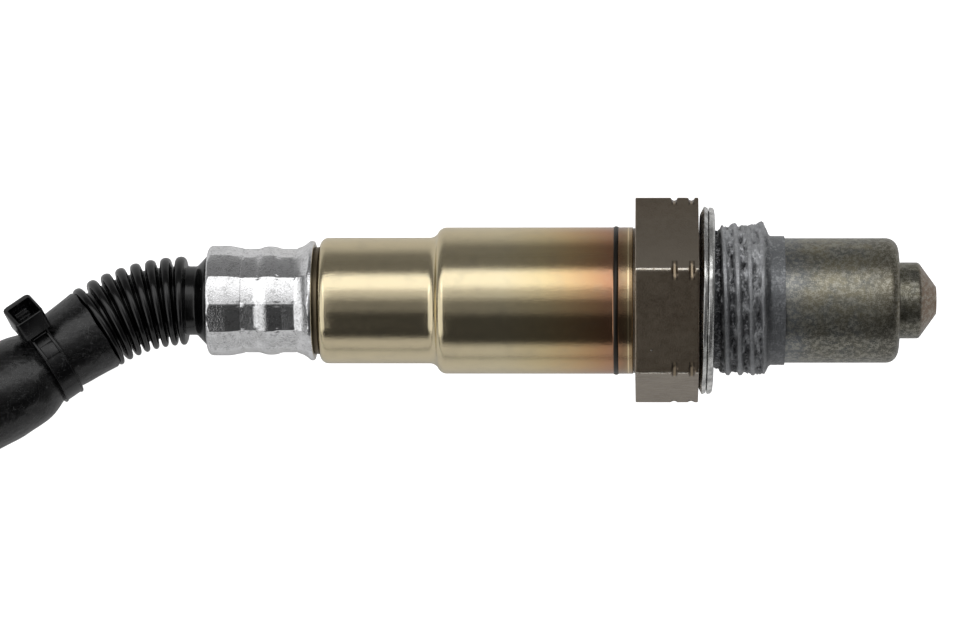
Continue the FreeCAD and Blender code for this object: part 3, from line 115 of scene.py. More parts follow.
class Graph:
    """A node tree with short calls for adding and joining nodes."""

    def __init__(self, tree: bpy.types.NodeTree) -> None:
        """Keeps the tree that the nodes go into."""
        self.tree = tree

    def feed(self, socket: Socket, source: object) -> None:
        """Joins a source to a socket, or sets the socket's own value or colour.

        Args:
            socket: The socket that takes it.
            source: Another node's socket, a number, a place or a colour.
        """
        if isinstance(source, Socket):
            self.tree.links.new(source, socket)
        else:
            socket.default_value = (*source, 1.0) if socket.type == "RGBA" else source

    def add(self, kind: str, inputs: dict | None = None, **settings: object) -> bpy.types.Node:
        """Adds one node.

        Args:
            kind: The node's type name, without the "ShaderNode" that starts it.
            inputs: What goes into its sockets, by name or place: a value or another node's socket.
            settings: Properties of the node itself.

        Returns:
            The new node.
        """
        node = self.tree.nodes.new("ShaderNode" + kind)
        for name, setting in settings.items():
            setattr(node, name, setting)
        for name, source in (inputs or {}).items():
            self.feed(node.inputs[name], source)
        return node

    def math(self, operation: str, *values: object) -> Socket:
        """One step of arithmetic on numbers or sockets."""
        return self.add("Math", dict(enumerate(values)), operation=operation).outputs[0]

    def times(self, one: object, other: object) -> Socket:
        """One value times the other."""
        return self.math("MULTIPLY", one, other)

    def raised(self, start: object, source: object, share: object) -> Socket:
        """A value raised by a share of the source."""
        return self.math("ADD", start, self.times(source, share))

    def outside(self, mask: Socket) -> Socket:
        """A mask of what another mask leaves free."""
        return self.math("SUBTRACT", 1.0, mask)

    def apart(self, value: object, middle: float) -> Socket:
        """How far a value is from a middle, on either side."""
        return self.math("ABSOLUTE", self.math("SUBTRACT", value, middle))

    def ramp(self, source: Socket, low: float, high: float, smooth: bool = True) -> Socket:
        """A mask that goes from 0 to 1 as the source goes from low to high.

        Args:
            source: The value that decides.
            low: Where the mask is still 0.
            high: Where it reaches 1.
            smooth: Whether its ends are eased.

        Returns:
            The mask.
        """
        limits = {"Value": source, "From Min": low, "From Max": high}
        kind = "SMOOTHSTEP" if smooth else "LINEAR"
        return self.add("MapRange", limits, interpolation_type=kind).outputs["Result"]

    def mix(self, mask: object, one: object, other: object, share: float = 1.0) -> Socket:
        """A colour from one to the other, as far as a share of the mask says.

        Args:
            mask: 0 for the one, 1 for the other.
            one: The first colour.
            other: The second colour.
            share: How much of the mask counts.

        Returns:
            The mixed colour.
        """
        mask = mask if share == 1.0 else self.times(mask, share)
        return self.add("Mix", {0: mask, 6: one, 7: other}, data_type="RGBA").outputs[2]

    def noise(
        self,
        place: Socket,
        scale: object,
        detail: float = 4.0,
        roughness: float = 0.55,
        distortion: float = 0.0,
    ) -> Socket:
        """A noise value over a place in millimetres; the scale is in lumps per millimetre.

        Args:
            place: Where on the piece.
            scale: How fine it is.
            detail: How many finer layers it has.
            roughness: How strong these are.
            distortion: How far it is stirred.

        Returns:
            The value, about 0.5 on average.
        """
        names = ("Vector", "Scale", "Detail", "Roughness", "Distortion")
        inputs = dict(zip(names, (place, scale, detail, roughness, distortion)))
        return self.add("TexNoise", inputs).outputs[0]

    def stretch(self, place: Socket, along: float, across: float) -> Socket:
        """The place with its length and its width drawn out or pressed together."""
        return self.add("Mapping", {"Vector": place, "Scale": (along, across, across)}).outputs[0]

    def bump(self, height: Socket, distance: float, normal: Socket | None = None) -> Socket:
        """A normal from a height; the distance is in millimetres.

        Args:
            height: The relief, from 0 to 1.
            distance: How high 1 stands.
            normal: The normal that it adds to.

        Returns:
            The bent normal.
        """
        inputs = {"Height": height, "Distance": distance * MM}
        if normal is not None:
            inputs["Normal"] = normal
        return self.add("Bump", inputs).outputs[0]

    def axes(self, place: Socket) -> Sequence[Socket]:
        """The place's X, Y and Z."""
        return self.add("SeparateXYZ", {"Vector": place}).outputs

    def across(self, parts: Sequence[Socket], side: float, height: float) -> Socket:
        """How far a place lies in a direction that is given as shares of Y and Z."""
        return self.raised(self.times(parts[1], side), parts[2], height)

    def radius(self, parts: Sequence[Socket]) -> Socket:
        """How far a place lies from the sensor's axis."""
        square = self.math("ADD", *(self.math("POWER", part, 2.0) for part in parts[1:]))
        return self.math("SQRT", square)

    def place(self) -> Socket:
        """The place on the piece in millimetres, in the sensor's own axes."""
        return self.part("sensor_axes")

    def part(self, name: str, **inputs: object) -> Socket:
        """A shared effect group by name, with this material's values for it.

        Args:
            name: The effect's name.
            inputs: Its values, each a number or another node's socket.

        Returns:
            What the effect gives.
        """
        group = self.add("Group")
        group.node_tree = bpy.data.node_groups.get(name) or EFFECTS[name](name)
        for key, source in inputs.items():
            self.feed(group.inputs[key.title()], source)
        return group.outputs[0]

    def surface(
        self, shader: bpy.types.Node, colour: object, rough: object, normal: Socket, metal: float = 0.0
    ) -> None:
        """Feeds the shader that makes the surface.

        Args:
            shader: The material's main shader.
            colour: Its base colour.
            rough: Its roughness.
            normal: Its normal.
            metal: How metallic it is.
        """
        names = ("Base Color", "Roughness", "Normal", "Metallic")
        for name, source in zip(names, (colour, rough, normal, metal)):
            self.feed(shader.inputs[name], source)


def effect_group(name: str, **sizes: float) -> tuple[Graph, Sequence[Socket], Socket]:
    """An empty shader group that turns a place into one value.

    Args:
        name: The group's name.
        sizes: The numbers that each material may choose, with their defaults.

    Returns:
        A graph over the group, the sockets that come in and the socket that goes out.
    """
    tree = bpy.data.node_groups.new(name, "ShaderNodeTree")
    tree.interface.new_socket("Place", in_out="INPUT", socket_type="NodeSocketVector")
    for label, default in sizes.items():
        socket = tree.interface.new_socket(label.title(), in_out="INPUT", socket_type="NodeSocketFloat")
        socket.default_value = default
    tree.interface.new_socket("Value", in_out="OUTPUT", socket_type="NodeSocketFloat")
    given = tree.nodes.new("NodeGroupInput").outputs
    return Graph(tree), given, tree.nodes.new("NodeGroupOutput").inputs["Value"]


def sensor_axes_group(name: str) -> bpy.types.NodeTree:
    """The group that turns the object's own place into millimetres along the sensor's axes.

    Args:
        name: The group's name.

    Returns:
        The group.
    """
    tree = bpy.data.node_groups.new(name, "ShaderNodeTree")
    tree.interface.new_socket("Place", in_out="OUTPUT", socket_type="NodeSocketVector")
    graph = Graph(tree)
    resting = {
        "Vector": graph.add("TexCoord").outputs["Object"],
        "Location": REST_PLACE,
        "Rotation": (0.0, -REST_TILT, 0.0),
        "Scale": (MM, MM, MM),
    }
    turned = graph.add("Mapping", resting, vector_type="TEXTURE").outputs[0]
    graph.feed(tree.nodes.new("NodeGroupOutput").inputs["Place"], turned)
    return tree


def grain_group(name: str) -> bpy.types.NodeTree:
    """Fine even grain, as on drawn or blasted metal and moulded plastic.

    Args:
        name: The group's name.

    Returns:
        The group.
    """
    graph, given, value = effect_group(name, size=6.0, coarse=0.4)
    fine = graph.noise(given["Place"], given["Size"], 3.0, 0.7)
    wide = graph.noise(given["Place"], graph.times(given["Size"], 0.27), 2.0, 0.5)
    graph.feed(value, graph.raised(fine, wide, given["Coarse"]))
    return graph.tree


def scratch_group(name: str) -> bpy.types.NodeTree:
    """Short thin scratches in three directions, as a mask.

    Args:
        name: The group's name.

    Returns:
        The group.
    """
    graph, given, value = effect_group(name, density=0.5, width=0.03)
    found = None
    for turn, scale in ((0.4, (0.25, 2.2, 2.2)), (-0.7, (2.0, 0.3, 1.4)), (1.3, (0.4, 1.7, 2.6))):
        turning = {"Vector": given["Place"], "Rotation": (turn, turn, turn), "Scale": scale}
        turned = graph.add("Mapping", turning).outputs[0]
        line = graph.apart(graph.noise(turned, 0.9, 2.0, 0.5, 0.3), 0.5)
        thin = graph.math("LESS_THAN", line, graph.times(given["Width"], 0.08))
        patch = graph.noise(turned, 0.35, 1.0)
        some = graph.math("GREATER_THAN", patch, graph.math("SUBTRACT", 0.85, given["Density"]))
        both = graph.times(thin, some)
        found = both if found is None else graph.math("MAXIMUM", found, both)
    graph.feed(value, found)
    return graph.tree


def speck_group(name: str) -> bpy.types.NodeTree:
    """Small scattered specks of dust, as a mask.

    Args:
        name: The group's name.

    Returns:
        The group.
    """
    graph, given, value = effect_group(name, size=1.2, amount=0.15)
    cells = graph.add("TexVoronoi", {"Vector": given["Place"], "Scale": given["Size"]}).outputs
    near = graph.math("LESS_THAN", cells["Distance"], 0.12)
    lot = graph.add("SeparateColor", {"Color": cells["Color"]}).outputs[0]
    graph.feed(value, graph.times(near, graph.math("LESS_THAN", lot, given["Amount"])))
    return graph.tree


EFFECTS: dict[str, Callable[[str], bpy.types.NodeTree]] = {
    "sensor_axes": sensor_axes_group,
    "grain": grain_group,
    "scratches": scratch_group,
    "specks": speck_group,
}


# Finishes


@dataclass(frozen=True)
class Finish:
    """A material by name, whose subclasses say what its surface looks like."""

    name: str

    def paint(self, graph: Graph, shader: bpy.types.Node) -> None:
        """Fills in the shader's sockets; each kind of finish has its own.

        Args:
            graph: The material's nodes.
            shader: The shader that they feed.
        """
        raise NotImplementedError

    def material(self) -> bpy.types.Material:
        """Makes the material the first time it is asked for.

        Returns:
            The finished material.
        """
        if self.name in bpy.data.materials:
            return bpy.data.materials[self.name]
        made = bpy.data.materials.new(self.name)
        made.use_nodes = True
        self.paint(Graph(made.node_tree), made.node_tree.nodes["Principled BSDF"])
        return made


@dataclass(frozen=True)
class Moulded(Finish):
    """Rubber or plastic with a fine skin, soft unevenness, scratches and a little dust."""

    colour: Colour
    pale: Colour
    roughness: float
    grain_depth: float = 0.02
    wave: float = 0.35
    wave_depth: float = 0.12
    scratches: float = 0.3
    dust: float = 0.1
    gloss: float = 0.5

    def paint(self, graph: Graph, shader: bpy.types.Node) -> None:
        """Dark skin with a mottled sheen.

        Args:
            graph: The material\'s nodes.
            shader: The shader that they feed.
        """
        place = graph.place()
        mottle = graph.noise(place, 0.45, 5.0, 0.6)
        base = graph.mix(graph.ramp(mottle, 0.42, 0.72), self.colour, self.pale, 0.5)
        scratch = graph.part("scratches", place=place, density=self.scratches, width=0.1)
        specks = graph.part("specks", place=place, size=1.1, amount=self.dust)
        marks = graph.math("MAXIMUM", graph.times(scratch, 0.5), specks)
        base = graph.mix(marks, base, tuple(min(1.0, 3.0 * part + 0.05) for part in self.pale))
        rough = graph.raised(self.roughness - 0.08, mottle, 0.22)
        normal = graph.bump(graph.noise(place, self.wave, 3.0), self.wave_depth)
        grain = graph.part("grain", place=place, size=7.0, coarse=0.6)
        graph.surface(shader, base, rough, graph.bump(grain, self.grain_depth, normal))
        shader.inputs["Specular IOR Level"].default_value = self.gloss


@dataclass(frozen=True)
class PlainMetal(Finish):
    """Small bare metal pieces with fine grain and light tarnish."""

    colour: Colour
    dull: Colour
    roughness: float

    def paint(self, graph: Graph, shader: bpy.types.Node) -> None:
        """Metal with cloudy tarnish.

        Args:
            graph: The material\'s nodes.
            shader: The shader that they feed.
        """
        place = graph.place()
        tarnish = graph.ramp(graph.noise(place, 0.8, 5.0), 0.4, 0.7)
        base = graph.mix(tarnish, self.colour, self.dull)
        rough = graph.raised(self.roughness, tarnish, 0.2)
        grain = graph.part("grain", place=place, size=9.0, coarse=0.5)
        graph.surface(shader, base, rough, graph.bump(grain, 0.015), 1.0)


@dataclass(frozen=True)
class Fired(Finish):
    """Ceramic or pressed powder: pale, matt and slightly uneven."""

    colour: Colour
    shade: Colour

    def paint(self, graph: Graph, shader: bpy.types.Node) -> None:
        """Pale body with faint blotches and a fine tooth.

        Args:
            graph: The material\'s nodes.
            shader: The shader that they feed.
        """
        place = graph.place()
        blotch = graph.ramp(graph.noise(place, 0.5, 5.0), 0.35, 0.75)
        base = graph.mix(blotch, self.colour, self.shade)
        grain = graph.part("grain", place=place, size=8.0, coarse=0.8)
        graph.surface(shader, base, graph.raised(0.6, blotch, 0.2), graph.bump(grain, 0.02))


@dataclass(frozen=True)
class TintedSleeve(Finish):
    """Drawn stainless steel, straw-coloured, that heat has browned towards the weld."""

    heated: tuple[float, float] = (-34.0, -8.0)
    # Where the painted shade in the neck's recess starts
    recess_shade_start: float = SLEEVE_REAR - 0.15
    # The middle of a painted highlight ring near the sleeve's front end
    lit_line: float = -10.48
    straw: Colour = (0.74, 0.64, 0.43)
    hottest: Colour = (0.42, 0.30, 0.17)
    colours: tuple[tuple[float, Colour], ...] = (
        (0.38, (0.74, 0.64, 0.42)),
        (0.56, (0.72, 0.58, 0.33)),
        (0.68, (0.68, 0.48, 0.25)),
        (0.79, (0.58, 0.35, 0.18)),
        (0.87, (0.50, 0.26, 0.15)),
        (0.92, (0.34, 0.21, 0.12)),
        (0.95, (0.44, 0.31, 0.17)),
    )

    def heat(self, graph: Graph, along: Socket) -> Socket:
        """The heat colours by their place along the sleeve.

        Args:
            graph: The material's nodes.
            along: The place along the axis, in millimetres.

        Returns:
            The colour.
        """
        node = graph.add("ValToRGB", {"Fac": graph.ramp(along, *self.heated, smooth=False)})
        stops = node.color_ramp.elements
        stops[0].color = (*self.straw, 1.0)
        stops[1].color = (*self.hottest, 1.0)
        for position, colour in self.colours:
            stops.new(position).color = (*colour, 1.0)
        return node.outputs[0]

    def paint(self, graph: Graph, shader: bpy.types.Node) -> None:
        """Heat colours along the axis over a fine drawn grain, with painted shade in the neck's recess
        and a painted highlight ring near the front end.

        Args:
            graph: The material\'s nodes.
            shader: The shader that they feed.
        """
        place = graph.place()
        along = graph.axes(place)[0]
        wander = graph.noise(graph.stretch(place, 0.15, 1.0), 0.35, 3.0)
        heat = self.heat(graph, graph.raised(along, wander, 2.4))
        cloud = graph.ramp(graph.noise(place, 0.5, 6.0, 0.65), 0.45, 0.7)
        base = graph.mix(cloud, heat, (0.45, 0.40, 0.30), 0.18)
        burnt = graph.outside(graph.ramp(graph.apart(along, WELD), 0.24, 0.34))
        base = graph.mix(burnt, base, (0.045, 0.04, 0.035))
        # Painted shade: the neck's recess under the collar rim darkened
        neck = graph.outside(graph.ramp(along, self.recess_shade_start, SLEEVE_REAR))
        base = graph.mix(neck, base, (0.09, 0.065, 0.04), 0.85)
        # Painted highlight: a bright ring near the sleeve's front end
        lit = graph.outside(graph.ramp(graph.apart(along, self.lit_line), 0.05, 0.12))
        base = graph.mix(lit, base, (1.0, 0.82, 0.52), 0.7)
        grain = graph.part("grain", place=place, size=6.5, coarse=0.5)
        rough = graph.raised(0.1, grain, 0.06)
        for mask, more in ((burnt, 0.25), (neck, 0.3)):
            rough = graph.raised(rough, mask, more)
        drawn = graph.noise(graph.stretch(place, 0.3, 2.0), 2.2, 3.0)
        normal = graph.bump(grain, 0.012, graph.bump(drawn, 0.005))
        graph.surface(shader, base, rough, normal, 1.0)


@dataclass(frozen=True)
class BrightCollar(Finish):
    """Bright collar steel with the grainy bloom that crimping leaves on its flats."""

    def paint(self, graph: Graph, shader: bpy.types.Node) -> None:
        """Silver with coarse dark grain.

        Args:
            graph: The material\'s nodes.
            shader: The shader that they feed.
        """
        place = graph.place()
        cloud = graph.ramp(graph.noise(place, 0.5, 6.0, 0.7), 0.4, 0.64)
        base = graph.mix(cloud, (0.9, 0.9, 0.91), (0.62, 0.62, 0.62), 0.35)
        grain = graph.part("grain", place=place, size=4.2, coarse=0.5)
        base = graph.mix(graph.ramp(grain, 0.72, 0.95), base, (0.3, 0.3, 0.3), 0.5)
        rough = graph.raised(0.13, cloud, 0.08)
        graph.surface(shader, base, rough, graph.bump(grain, 0.02), 1.0)


@dataclass(frozen=True)
class BrownedSteel(Finish):
    """The housing's steel: browned by heat, brushed, with bright worn corners."""

    rear_face: float = -9.62
    flat_rise: float = 0.866

    def side_face(self, graph: Graph, parts: Sequence[Socket], side: float) -> Socket:
        """A mask of one of the hexagon's sloping upper faces.

        Args:
            graph: The material's nodes.
            parts: The place's X, Y and Z.
            side: 1 for the face up the picture, -1 for the one down it.

        Returns:
            The mask.
        """
        return graph.ramp(graph.across(parts, side * self.flat_rise, 0.5), 10.6, 10.9)

    def paint(self, graph: Graph, shader: bpy.types.Node) -> None:
        """Dark matt steel with worn corners, tan rims round the notches, painted shade on the notch
        walls, painted light on the upper sloping face, and brushed streaks that also paint the lower
        face lighter.

        Args:
            graph: The material\'s nodes.
            shader: The shader that they feed.
        """
        place = graph.place()
        parts = graph.axes(place)
        radius = graph.radius(parts)
        cloud = graph.noise(place, 0.25, 5.0, 0.6)
        base = graph.mix(graph.ramp(cloud, 0.35, 0.7), (0.17, 0.131, 0.093), (0.22, 0.177, 0.13))
        grain = graph.part("grain", place=place, size=5.0, coarse=0.6)
        base = graph.mix(graph.ramp(grain, 0.5, 0.95), base, (0.34, 0.29, 0.23), 0.4)
        # Brushed streaks on the lower sloping face, which also paint that face lighter: brushing and
        # painted sheen
        brushed = graph.ramp(graph.noise(graph.stretch(place, 0.5, 3.2), 1.3, 3.0, 0.7), 0.35, 0.7)
        brushed_sheen = graph.times(brushed, self.side_face(graph, parts, -1.0))
        base = graph.mix(brushed_sheen, base, (0.42, 0.37, 0.30), 0.5)
        # Painted light: the upper sloping face paler, more so higher up
        lit = graph.ramp(parts[2], -0.5, 10.5, smooth=False)
        painted_light_face = graph.times(self.side_face(graph, parts, 1.0), lit)
        base = graph.mix(painted_light_face, base, (0.48, 0.42, 0.345), 0.75)
        spread = graph.apart(parts[0], sum(NOTCHES) / 2)
        notch = graph.apart(spread, (NOTCHES[1] - NOTCHES[0]) / 2)
        cut = graph.times(graph.math("LESS_THAN", radius, 12.56), graph.ramp(radius, 12.0, 12.15))
        # Painted shade: the notch walls darkened
        sides = graph.times(graph.outside(graph.ramp(notch, 0.3, 0.4)), cut)
        base = graph.mix(sides, base, (0.05, 0.04, 0.03), 0.6)
        foot = graph.times(graph.outside(graph.ramp(notch, 0.06, 0.2)), cut)
        base = graph.mix(foot, base, (0.45, 0.36, 0.25), 0.7)
        patchy = graph.ramp(graph.noise(place, 2.2, 3.0), 0.32, 0.55)
        corner = graph.times(graph.ramp(radius, 12.595, 12.63), patchy)
        rear = graph.outside(graph.ramp(parts[0], self.rear_face, self.rear_face + 0.07))
        faces = graph.times(rear, graph.ramp(radius, 10.7, 10.9))
        worn = graph.math("MAXIMUM", corner, graph.times(faces, graph.times(patchy, 0.35)))
        specks = graph.part("specks", place=place, size=0.9, amount=0.06)
        worn = graph.math("MAXIMUM", worn, specks)
        base = graph.mix(worn, base, (0.82, 0.78, 0.70), 0.75)
        rough = graph.math("SUBTRACT", graph.raised(0.24, grain, 0.12), graph.times(worn, 0.15))
        graph.surface(shader, base, rough, graph.bump(grain, 0.03), 1.0)


@dataclass(frozen=True)
class GreasedThread(Finish):
    """Thread steel smeared with grey anti-seize grease that glitters with metal flakes."""

    def paint(self, graph: Graph, shader: bpy.types.Node) -> None:
        """Pale paste towards the crests, darker towards the grooves, flakes all over, and a painted
        shade band on the lower side in view.

        Args:
            graph: The material\'s nodes.
            shader: The shader that they feed.
        """
        place = graph.place()
        parts = graph.axes(place)
        # Paler paste towards the crests, darker towards the grooves
        high = graph.ramp(graph.radius(parts), 8.15, 8.95, smooth=False)
        smear = graph.noise(graph.stretch(place, 2.4, 0.45), 0.8, 7.0, 0.7, 0.5)
        tone = graph.ramp(graph.raised(graph.times(high, 0.42), smear, 0.75), 0.42, 0.82)
        base = graph.mix(tone, (0.04, 0.041, 0.044), (0.5, 0.51, 0.525))
        flecks = graph.part("grain", place=place, size=3.6, coarse=0.5)
        base = graph.mix(graph.ramp(flecks, 0.74, 0.9), base, (0.75, 0.76, 0.78), 0.65)
        pits = graph.outside(graph.ramp(flecks, 0.48, 0.6))
        base = graph.mix(pits, base, (0.015, 0.015, 0.017), 0.35)
        base = graph.mix(graph.ramp(parts[0], 5.2, 6.6), base, (0.36, 0.375, 0.39), 0.6)
        # Painted shade: a dark band with a wavy edge on the lower side in view
        wavy = graph.raised(graph.across(parts, *UPWARDS), smear, 5.0)
        lower_painted_shade = graph.times(graph.outside(graph.ramp(wavy, 2.5, 6.0)), graph.ramp(wavy, -10.0, -4.0))
        base = graph.mix(lower_painted_shade, base, (0.05, 0.052, 0.057), 0.6)
        normal = graph.bump(graph.math("ADD", smear, flecks), 0.09)
        graph.surface(shader, base, graph.raised(0.22, smear, 0.25), normal, 0.55)


@dataclass(frozen=True)
class OxidisedTube(Finish):
    """Protection tube steel: heat has left it olive grey and mottled."""

    base: Colour
    blotch: Colour
    tint: Colour
    tint_start: float
    tint_end: float

    def paint(self, graph: Graph, shader: bpy.types.Node) -> None:
        """Blotchy oxide over fine pale grain, with a tint towards the tip and painted shade on the
        lower side in view.

        Args:
            graph: The material\'s nodes.
            shader: The shader that they feed.
        """
        place = graph.place()
        parts = graph.axes(place)
        cloud = graph.ramp(graph.noise(place, 0.5, 8.0, 0.72, 0.3), 0.38, 0.66)
        colour = graph.mix(cloud, self.base, self.blotch, 0.8)
        colour = graph.mix(graph.ramp(parts[0], self.tint_start, self.tint_end), colour, self.tint)
        # Painted shade: the lower side in view darkened
        tube_lower_shade = graph.outside(graph.ramp(graph.across(parts, *UPWARDS), -5.0, -1.0))
        colour = graph.mix(tube_lower_shade, colour, (0.07, 0.075, 0.075), 0.55)
        wander = graph.raised(parts[0], graph.noise(place, 0.45, 5.0, 0.7), 7.0)
        grease = graph.outside(graph.ramp(wander, 11.5, 15.5))
        colour = graph.mix(grease, colour, (0.2, 0.215, 0.235), 0.75)
        grain = graph.part("grain", place=place, size=7.0, coarse=0.7)
        colour = graph.mix(graph.ramp(grain, 0.78, 1.0), colour, (0.55, 0.53, 0.45), 0.55)
        rough = graph.raised(0.28, cloud, 0.12)
        graph.surface(shader, colour, rough, graph.bump(grain, 0.02), 0.9)


class Palette:
    """Every finish of the object, by the piece that it is for."""

    SLEEVE = TintedSleeve("tinted_sleeve_steel")
    COLLAR = BrightCollar("bright_collar_steel")
    HOUSING = BrownedSteel("browned_housing_steel")
    THREAD = GreasedThread("greased_thread")
    OUTER_TUBE = OxidisedTube(
        "oxidised_outer_tube", (0.26, 0.24, 0.175), (0.15, 0.16, 0.16), (0.17, 0.155, 0.115), 17.0, 21.5
    )
    INNER_TUBE = OxidisedTube(
        "oxidised_inner_tube", (0.16, 0.15, 0.11), (0.13, 0.13, 0.115), (0.26, 0.19, 0.14), 24.0, 24.8
    )
    WASHER = PlainMetal("worn_washer_steel", (0.85, 0.85, 0.83), (0.42, 0.42, 0.41), 0.22)
    CONTACT = PlainMetal("dull_contact_metal", (0.72, 0.70, 0.62), (0.5, 0.48, 0.42), 0.25)
    PIN = PlainMetal("tinned_pin", (0.75, 0.74, 0.70), (0.55, 0.54, 0.5), 0.22)
    CERAMIC = Fired("white_ceramic", (0.82, 0.81, 0.77), (0.72, 0.70, 0.64))
    TALC = Fired("pressed_talc", (0.74, 0.74, 0.72), (0.62, 0.62, 0.6))
    GROMMET = Moulded("dark_grommet_skin", (0.03, 0.03, 0.03), (0.05, 0.05, 0.05), 0.55)
    BOOT = Moulded(
        "black_boot_skin", (0.001, 0.001, 0.0011), (0.004, 0.004, 0.0043), 0.16,
        grain_depth=0.004, wave_depth=0.04, scratches=0.1, dust=0.05,
    )
    HOSE = Moulded(
        "worn_hose_skin", (0.0015, 0.0015, 0.0017), (0.006, 0.006, 0.0065), 0.24,
        grain_depth=0.008, wave=0.22, wave_depth=0.3, scratches=0.42, dust=0.2, gloss=0.55,
    )
    TIE = Moulded(
        "black_tie_skin", (0.001, 0.001, 0.0013), (0.004, 0.004, 0.0048), 0.18,
        grain_depth=0.003, wave_depth=0.03,
    )
    CONNECTOR = Moulded(
        "matt_connector_skin", (0.018, 0.018, 0.019), (0.03, 0.03, 0.032), 0.5, wave_depth=0.02
    )
    LOCK = Moulded("grey_lock_skin", (0.2, 0.2, 0.21), (0.26, 0.26, 0.27), 0.5, wave_depth=0.02)
    SEAL = Moulded("red_seal_skin", (0.35, 0.08, 0.04), (0.42, 0.12, 0.07), 0.5, wave_depth=0.04)


INSULATION: dict[str, tuple[Colour, Colour]] = {
    "grey": ((0.30, 0.30, 0.30), (0.36, 0.36, 0.36)),
    "white": ((0.78, 0.78, 0.76), (0.7, 0.7, 0.68)),
    "black": ((0.02, 0.02, 0.02), (0.04, 0.04, 0.04)),
    "yellow": ((0.72, 0.55, 0.05), (0.66, 0.5, 0.06)),
    "red": ((0.5, 0.03, 0.02), (0.56, 0.06, 0.04)),
}

FINISH_NODES: tuple[tuple[Finish, tuple[str, ...]], ...] = (
    (Palette.OUTER_TUBE, ("outer_protection_tube",)),
    (Palette.INNER_TUBE, ("inner_protection_tube",)),
    (Palette.CERAMIC, ("sensing_element", "front_ceramic_bush", "rear_ceramic_bush")),
    (Palette.CERAMIC, ("contact_holder_upper", "contact_holder_lower")),
    (Palette.TALC, ("talc_packing",)),
    (Palette.WASHER, ("packing_spring_washer",)),
    (Palette.CONTACT, ("contact_clip", *(f"contact_strip_{number}" for number in range(1, 6)))),
    (Palette.PIN, tuple(f"terminal_pin_{number}" for number in range(1, 6))),
    (Palette.GROMMET, ("wire_grommet",)),
    (Palette.CONNECTOR, ("connector_housing", "connector_rear_cover")),
    (Palette.SEAL, ("wire_seal",)),
    (Palette.LOCK, ("secondary_lock",)),
)


# Mesh helpers


def into_scene(name: str, data: bpy.types.ID) -> bpy.types.Object:
    """A new object in the scene, at the origin.

    Args:
        name: Its name.
        data: What it shows.

    Returns:
        The object.
    """
    made = bpy.data.objects.new(name, data)
    bpy.context.scene.collection.objects.link(made)
    return made


def facing(side: Vector, over: Vector, ahead: Vector, spot: Vector) -> Matrix:
    """The place and turn whose X, Y and Z are the three directions."""
    return Matrix.Translation(spot) @ Matrix((side, over, ahead)).transposed().to_4x4()


def add_piece(
    name: str,
    mesh: bmesh.types.BMesh,
    finish: Finish,
    replaced: Sequence[str],
    sharp: float = 40.0,
) -> bpy.types.Object:
    """Makes a finished object of a mesh that is already in its place in metres.

    Args:
        name: The piece's name.
        mesh: Its shape, freed here.
        finish: Its material.
        replaced: The CAD nodes that it stands for.
        sharp: The angle in degrees past which an edge stays hard.

    Returns:
        The new object, riding on the one body.
    """
    data = bpy.data.meshes.new(name)
    mesh.to_mesh(data)
    mesh.free()
    data.polygons.foreach_set("use_smooth", [True] * len(data.polygons))
    data.set_sharp_from_angle(angle=math.radians(sharp))
    data.materials.append(finish.material())
    piece = into_scene(name, data)
    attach(piece, "root")
    if replaced:
        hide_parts(*replaced)
    LOG.info("%s: %d faces", name, len(data.polygons))
    return piece


def rounded(
    mesh: bmesh.types.BMesh, parts: Iterable, width: float, segments: int = 3, affect: str = "EDGES"
) -> None:
    """Rounds edges or vertices with a few narrow faces each.

    Args:
        mesh: The shape that holds them.
        parts: The edges or vertices.
        width: How far from them the rounding starts.
        segments: How many faces make it.
        affect: Either "EDGES" or "VERTICES".
    """
    bmesh.ops.bevel(
        mesh,
        geom=list(parts),
        offset=width,
        offset_type="OFFSET",
        segments=segments,
        profile=0.5,
        affect=affect,
        clamp_overlap=affect == "EDGES",
        material=-1,
    )


def spun(
    profile: Sequence[tuple[float, ...]], steps: int, closed: bool = True, rows: float = 0.0
) -> bmesh.types.BMesh:
    """A shape turned round X from a profile in millimetres.

    Args:
        profile: Pairs of place along X and radius, each with a third number where the corner is
            rounded, which is how far from the corner the round starts.
        steps: How many faces go round.
        closed: Whether the profile's end is joined to its start.
        rows: The longest step that the profile may keep; 0 leaves it as it is.

    Returns:
        The turned mesh, with its normals outwards.
    """
    mesh = bmesh.new()
    corners = [mesh.verts.new((spot[0], 0.0, spot[1])) for spot in profile]
    edges = [mesh.edges.new(pair) for pair in zip(corners, corners[1:])]
    if closed:
        edges.append(mesh.edges.new((corners[-1], corners[0])))
    for corner, spot in zip(corners, profile):
        if len(spot) == 3:
            rounded(mesh, [corner], spot[2], 6, "VERTICES")
    if rows:
        for edge in list(mesh.edges):
            cuts = int(edge.calc_length() / rows)
            if cuts:
                bmesh.ops.subdivide_edges(mesh, edges=[edge], cuts=cuts)
    bmesh.ops.spin(
        mesh,
        geom=list(mesh.verts) + list(mesh.edges),
        cent=Vector(),
        axis=X_AXIS,
        dvec=Vector(),
        angle=FULL_TURN,
        steps=steps,
        use_merge=True,
        use_duplicate=False,
    )
    bmesh.ops.remove_doubles(mesh, verts=mesh.verts, dist=1e-4)
    bmesh.ops.recalc_face_normals(mesh, faces=mesh.faces)
    return mesh


def reshape(mesh: bmesh.types.BMesh, radius_at: Callable[[float, float, float], float]) -> None:
    """Moves every vertex in or out from the X axis.

    Args:
        mesh: The shape, in millimetres.
        radius_at: Gives the new radius from the place along X, the angle from +Z towards +Y, and
            the present radius.
    """
    for vertex in mesh.verts:
        x, y, z = vertex.co
        radius = math.hypot(y, z)
        if radius < 1e-6:
            continue
        angle = math.atan2(y, z)
        grown = radius_at(x, angle, radius) / radius
        vertex.co.y = y * grown
        vertex.co.z = z * grown


def smooth_step(value: float, low: float, high: float) -> float:
    """0 below low, 1 above high, and smooth between.

    Args:
        value: What is asked about.
        low: The lower limit.
        high: The upper limit.

    Returns:
        A number from 0 to 1.
    """
    part = min(1.0, max(0.0, (value - low) / (high - low)))
    return part * part * (3.0 - 2.0 * part)


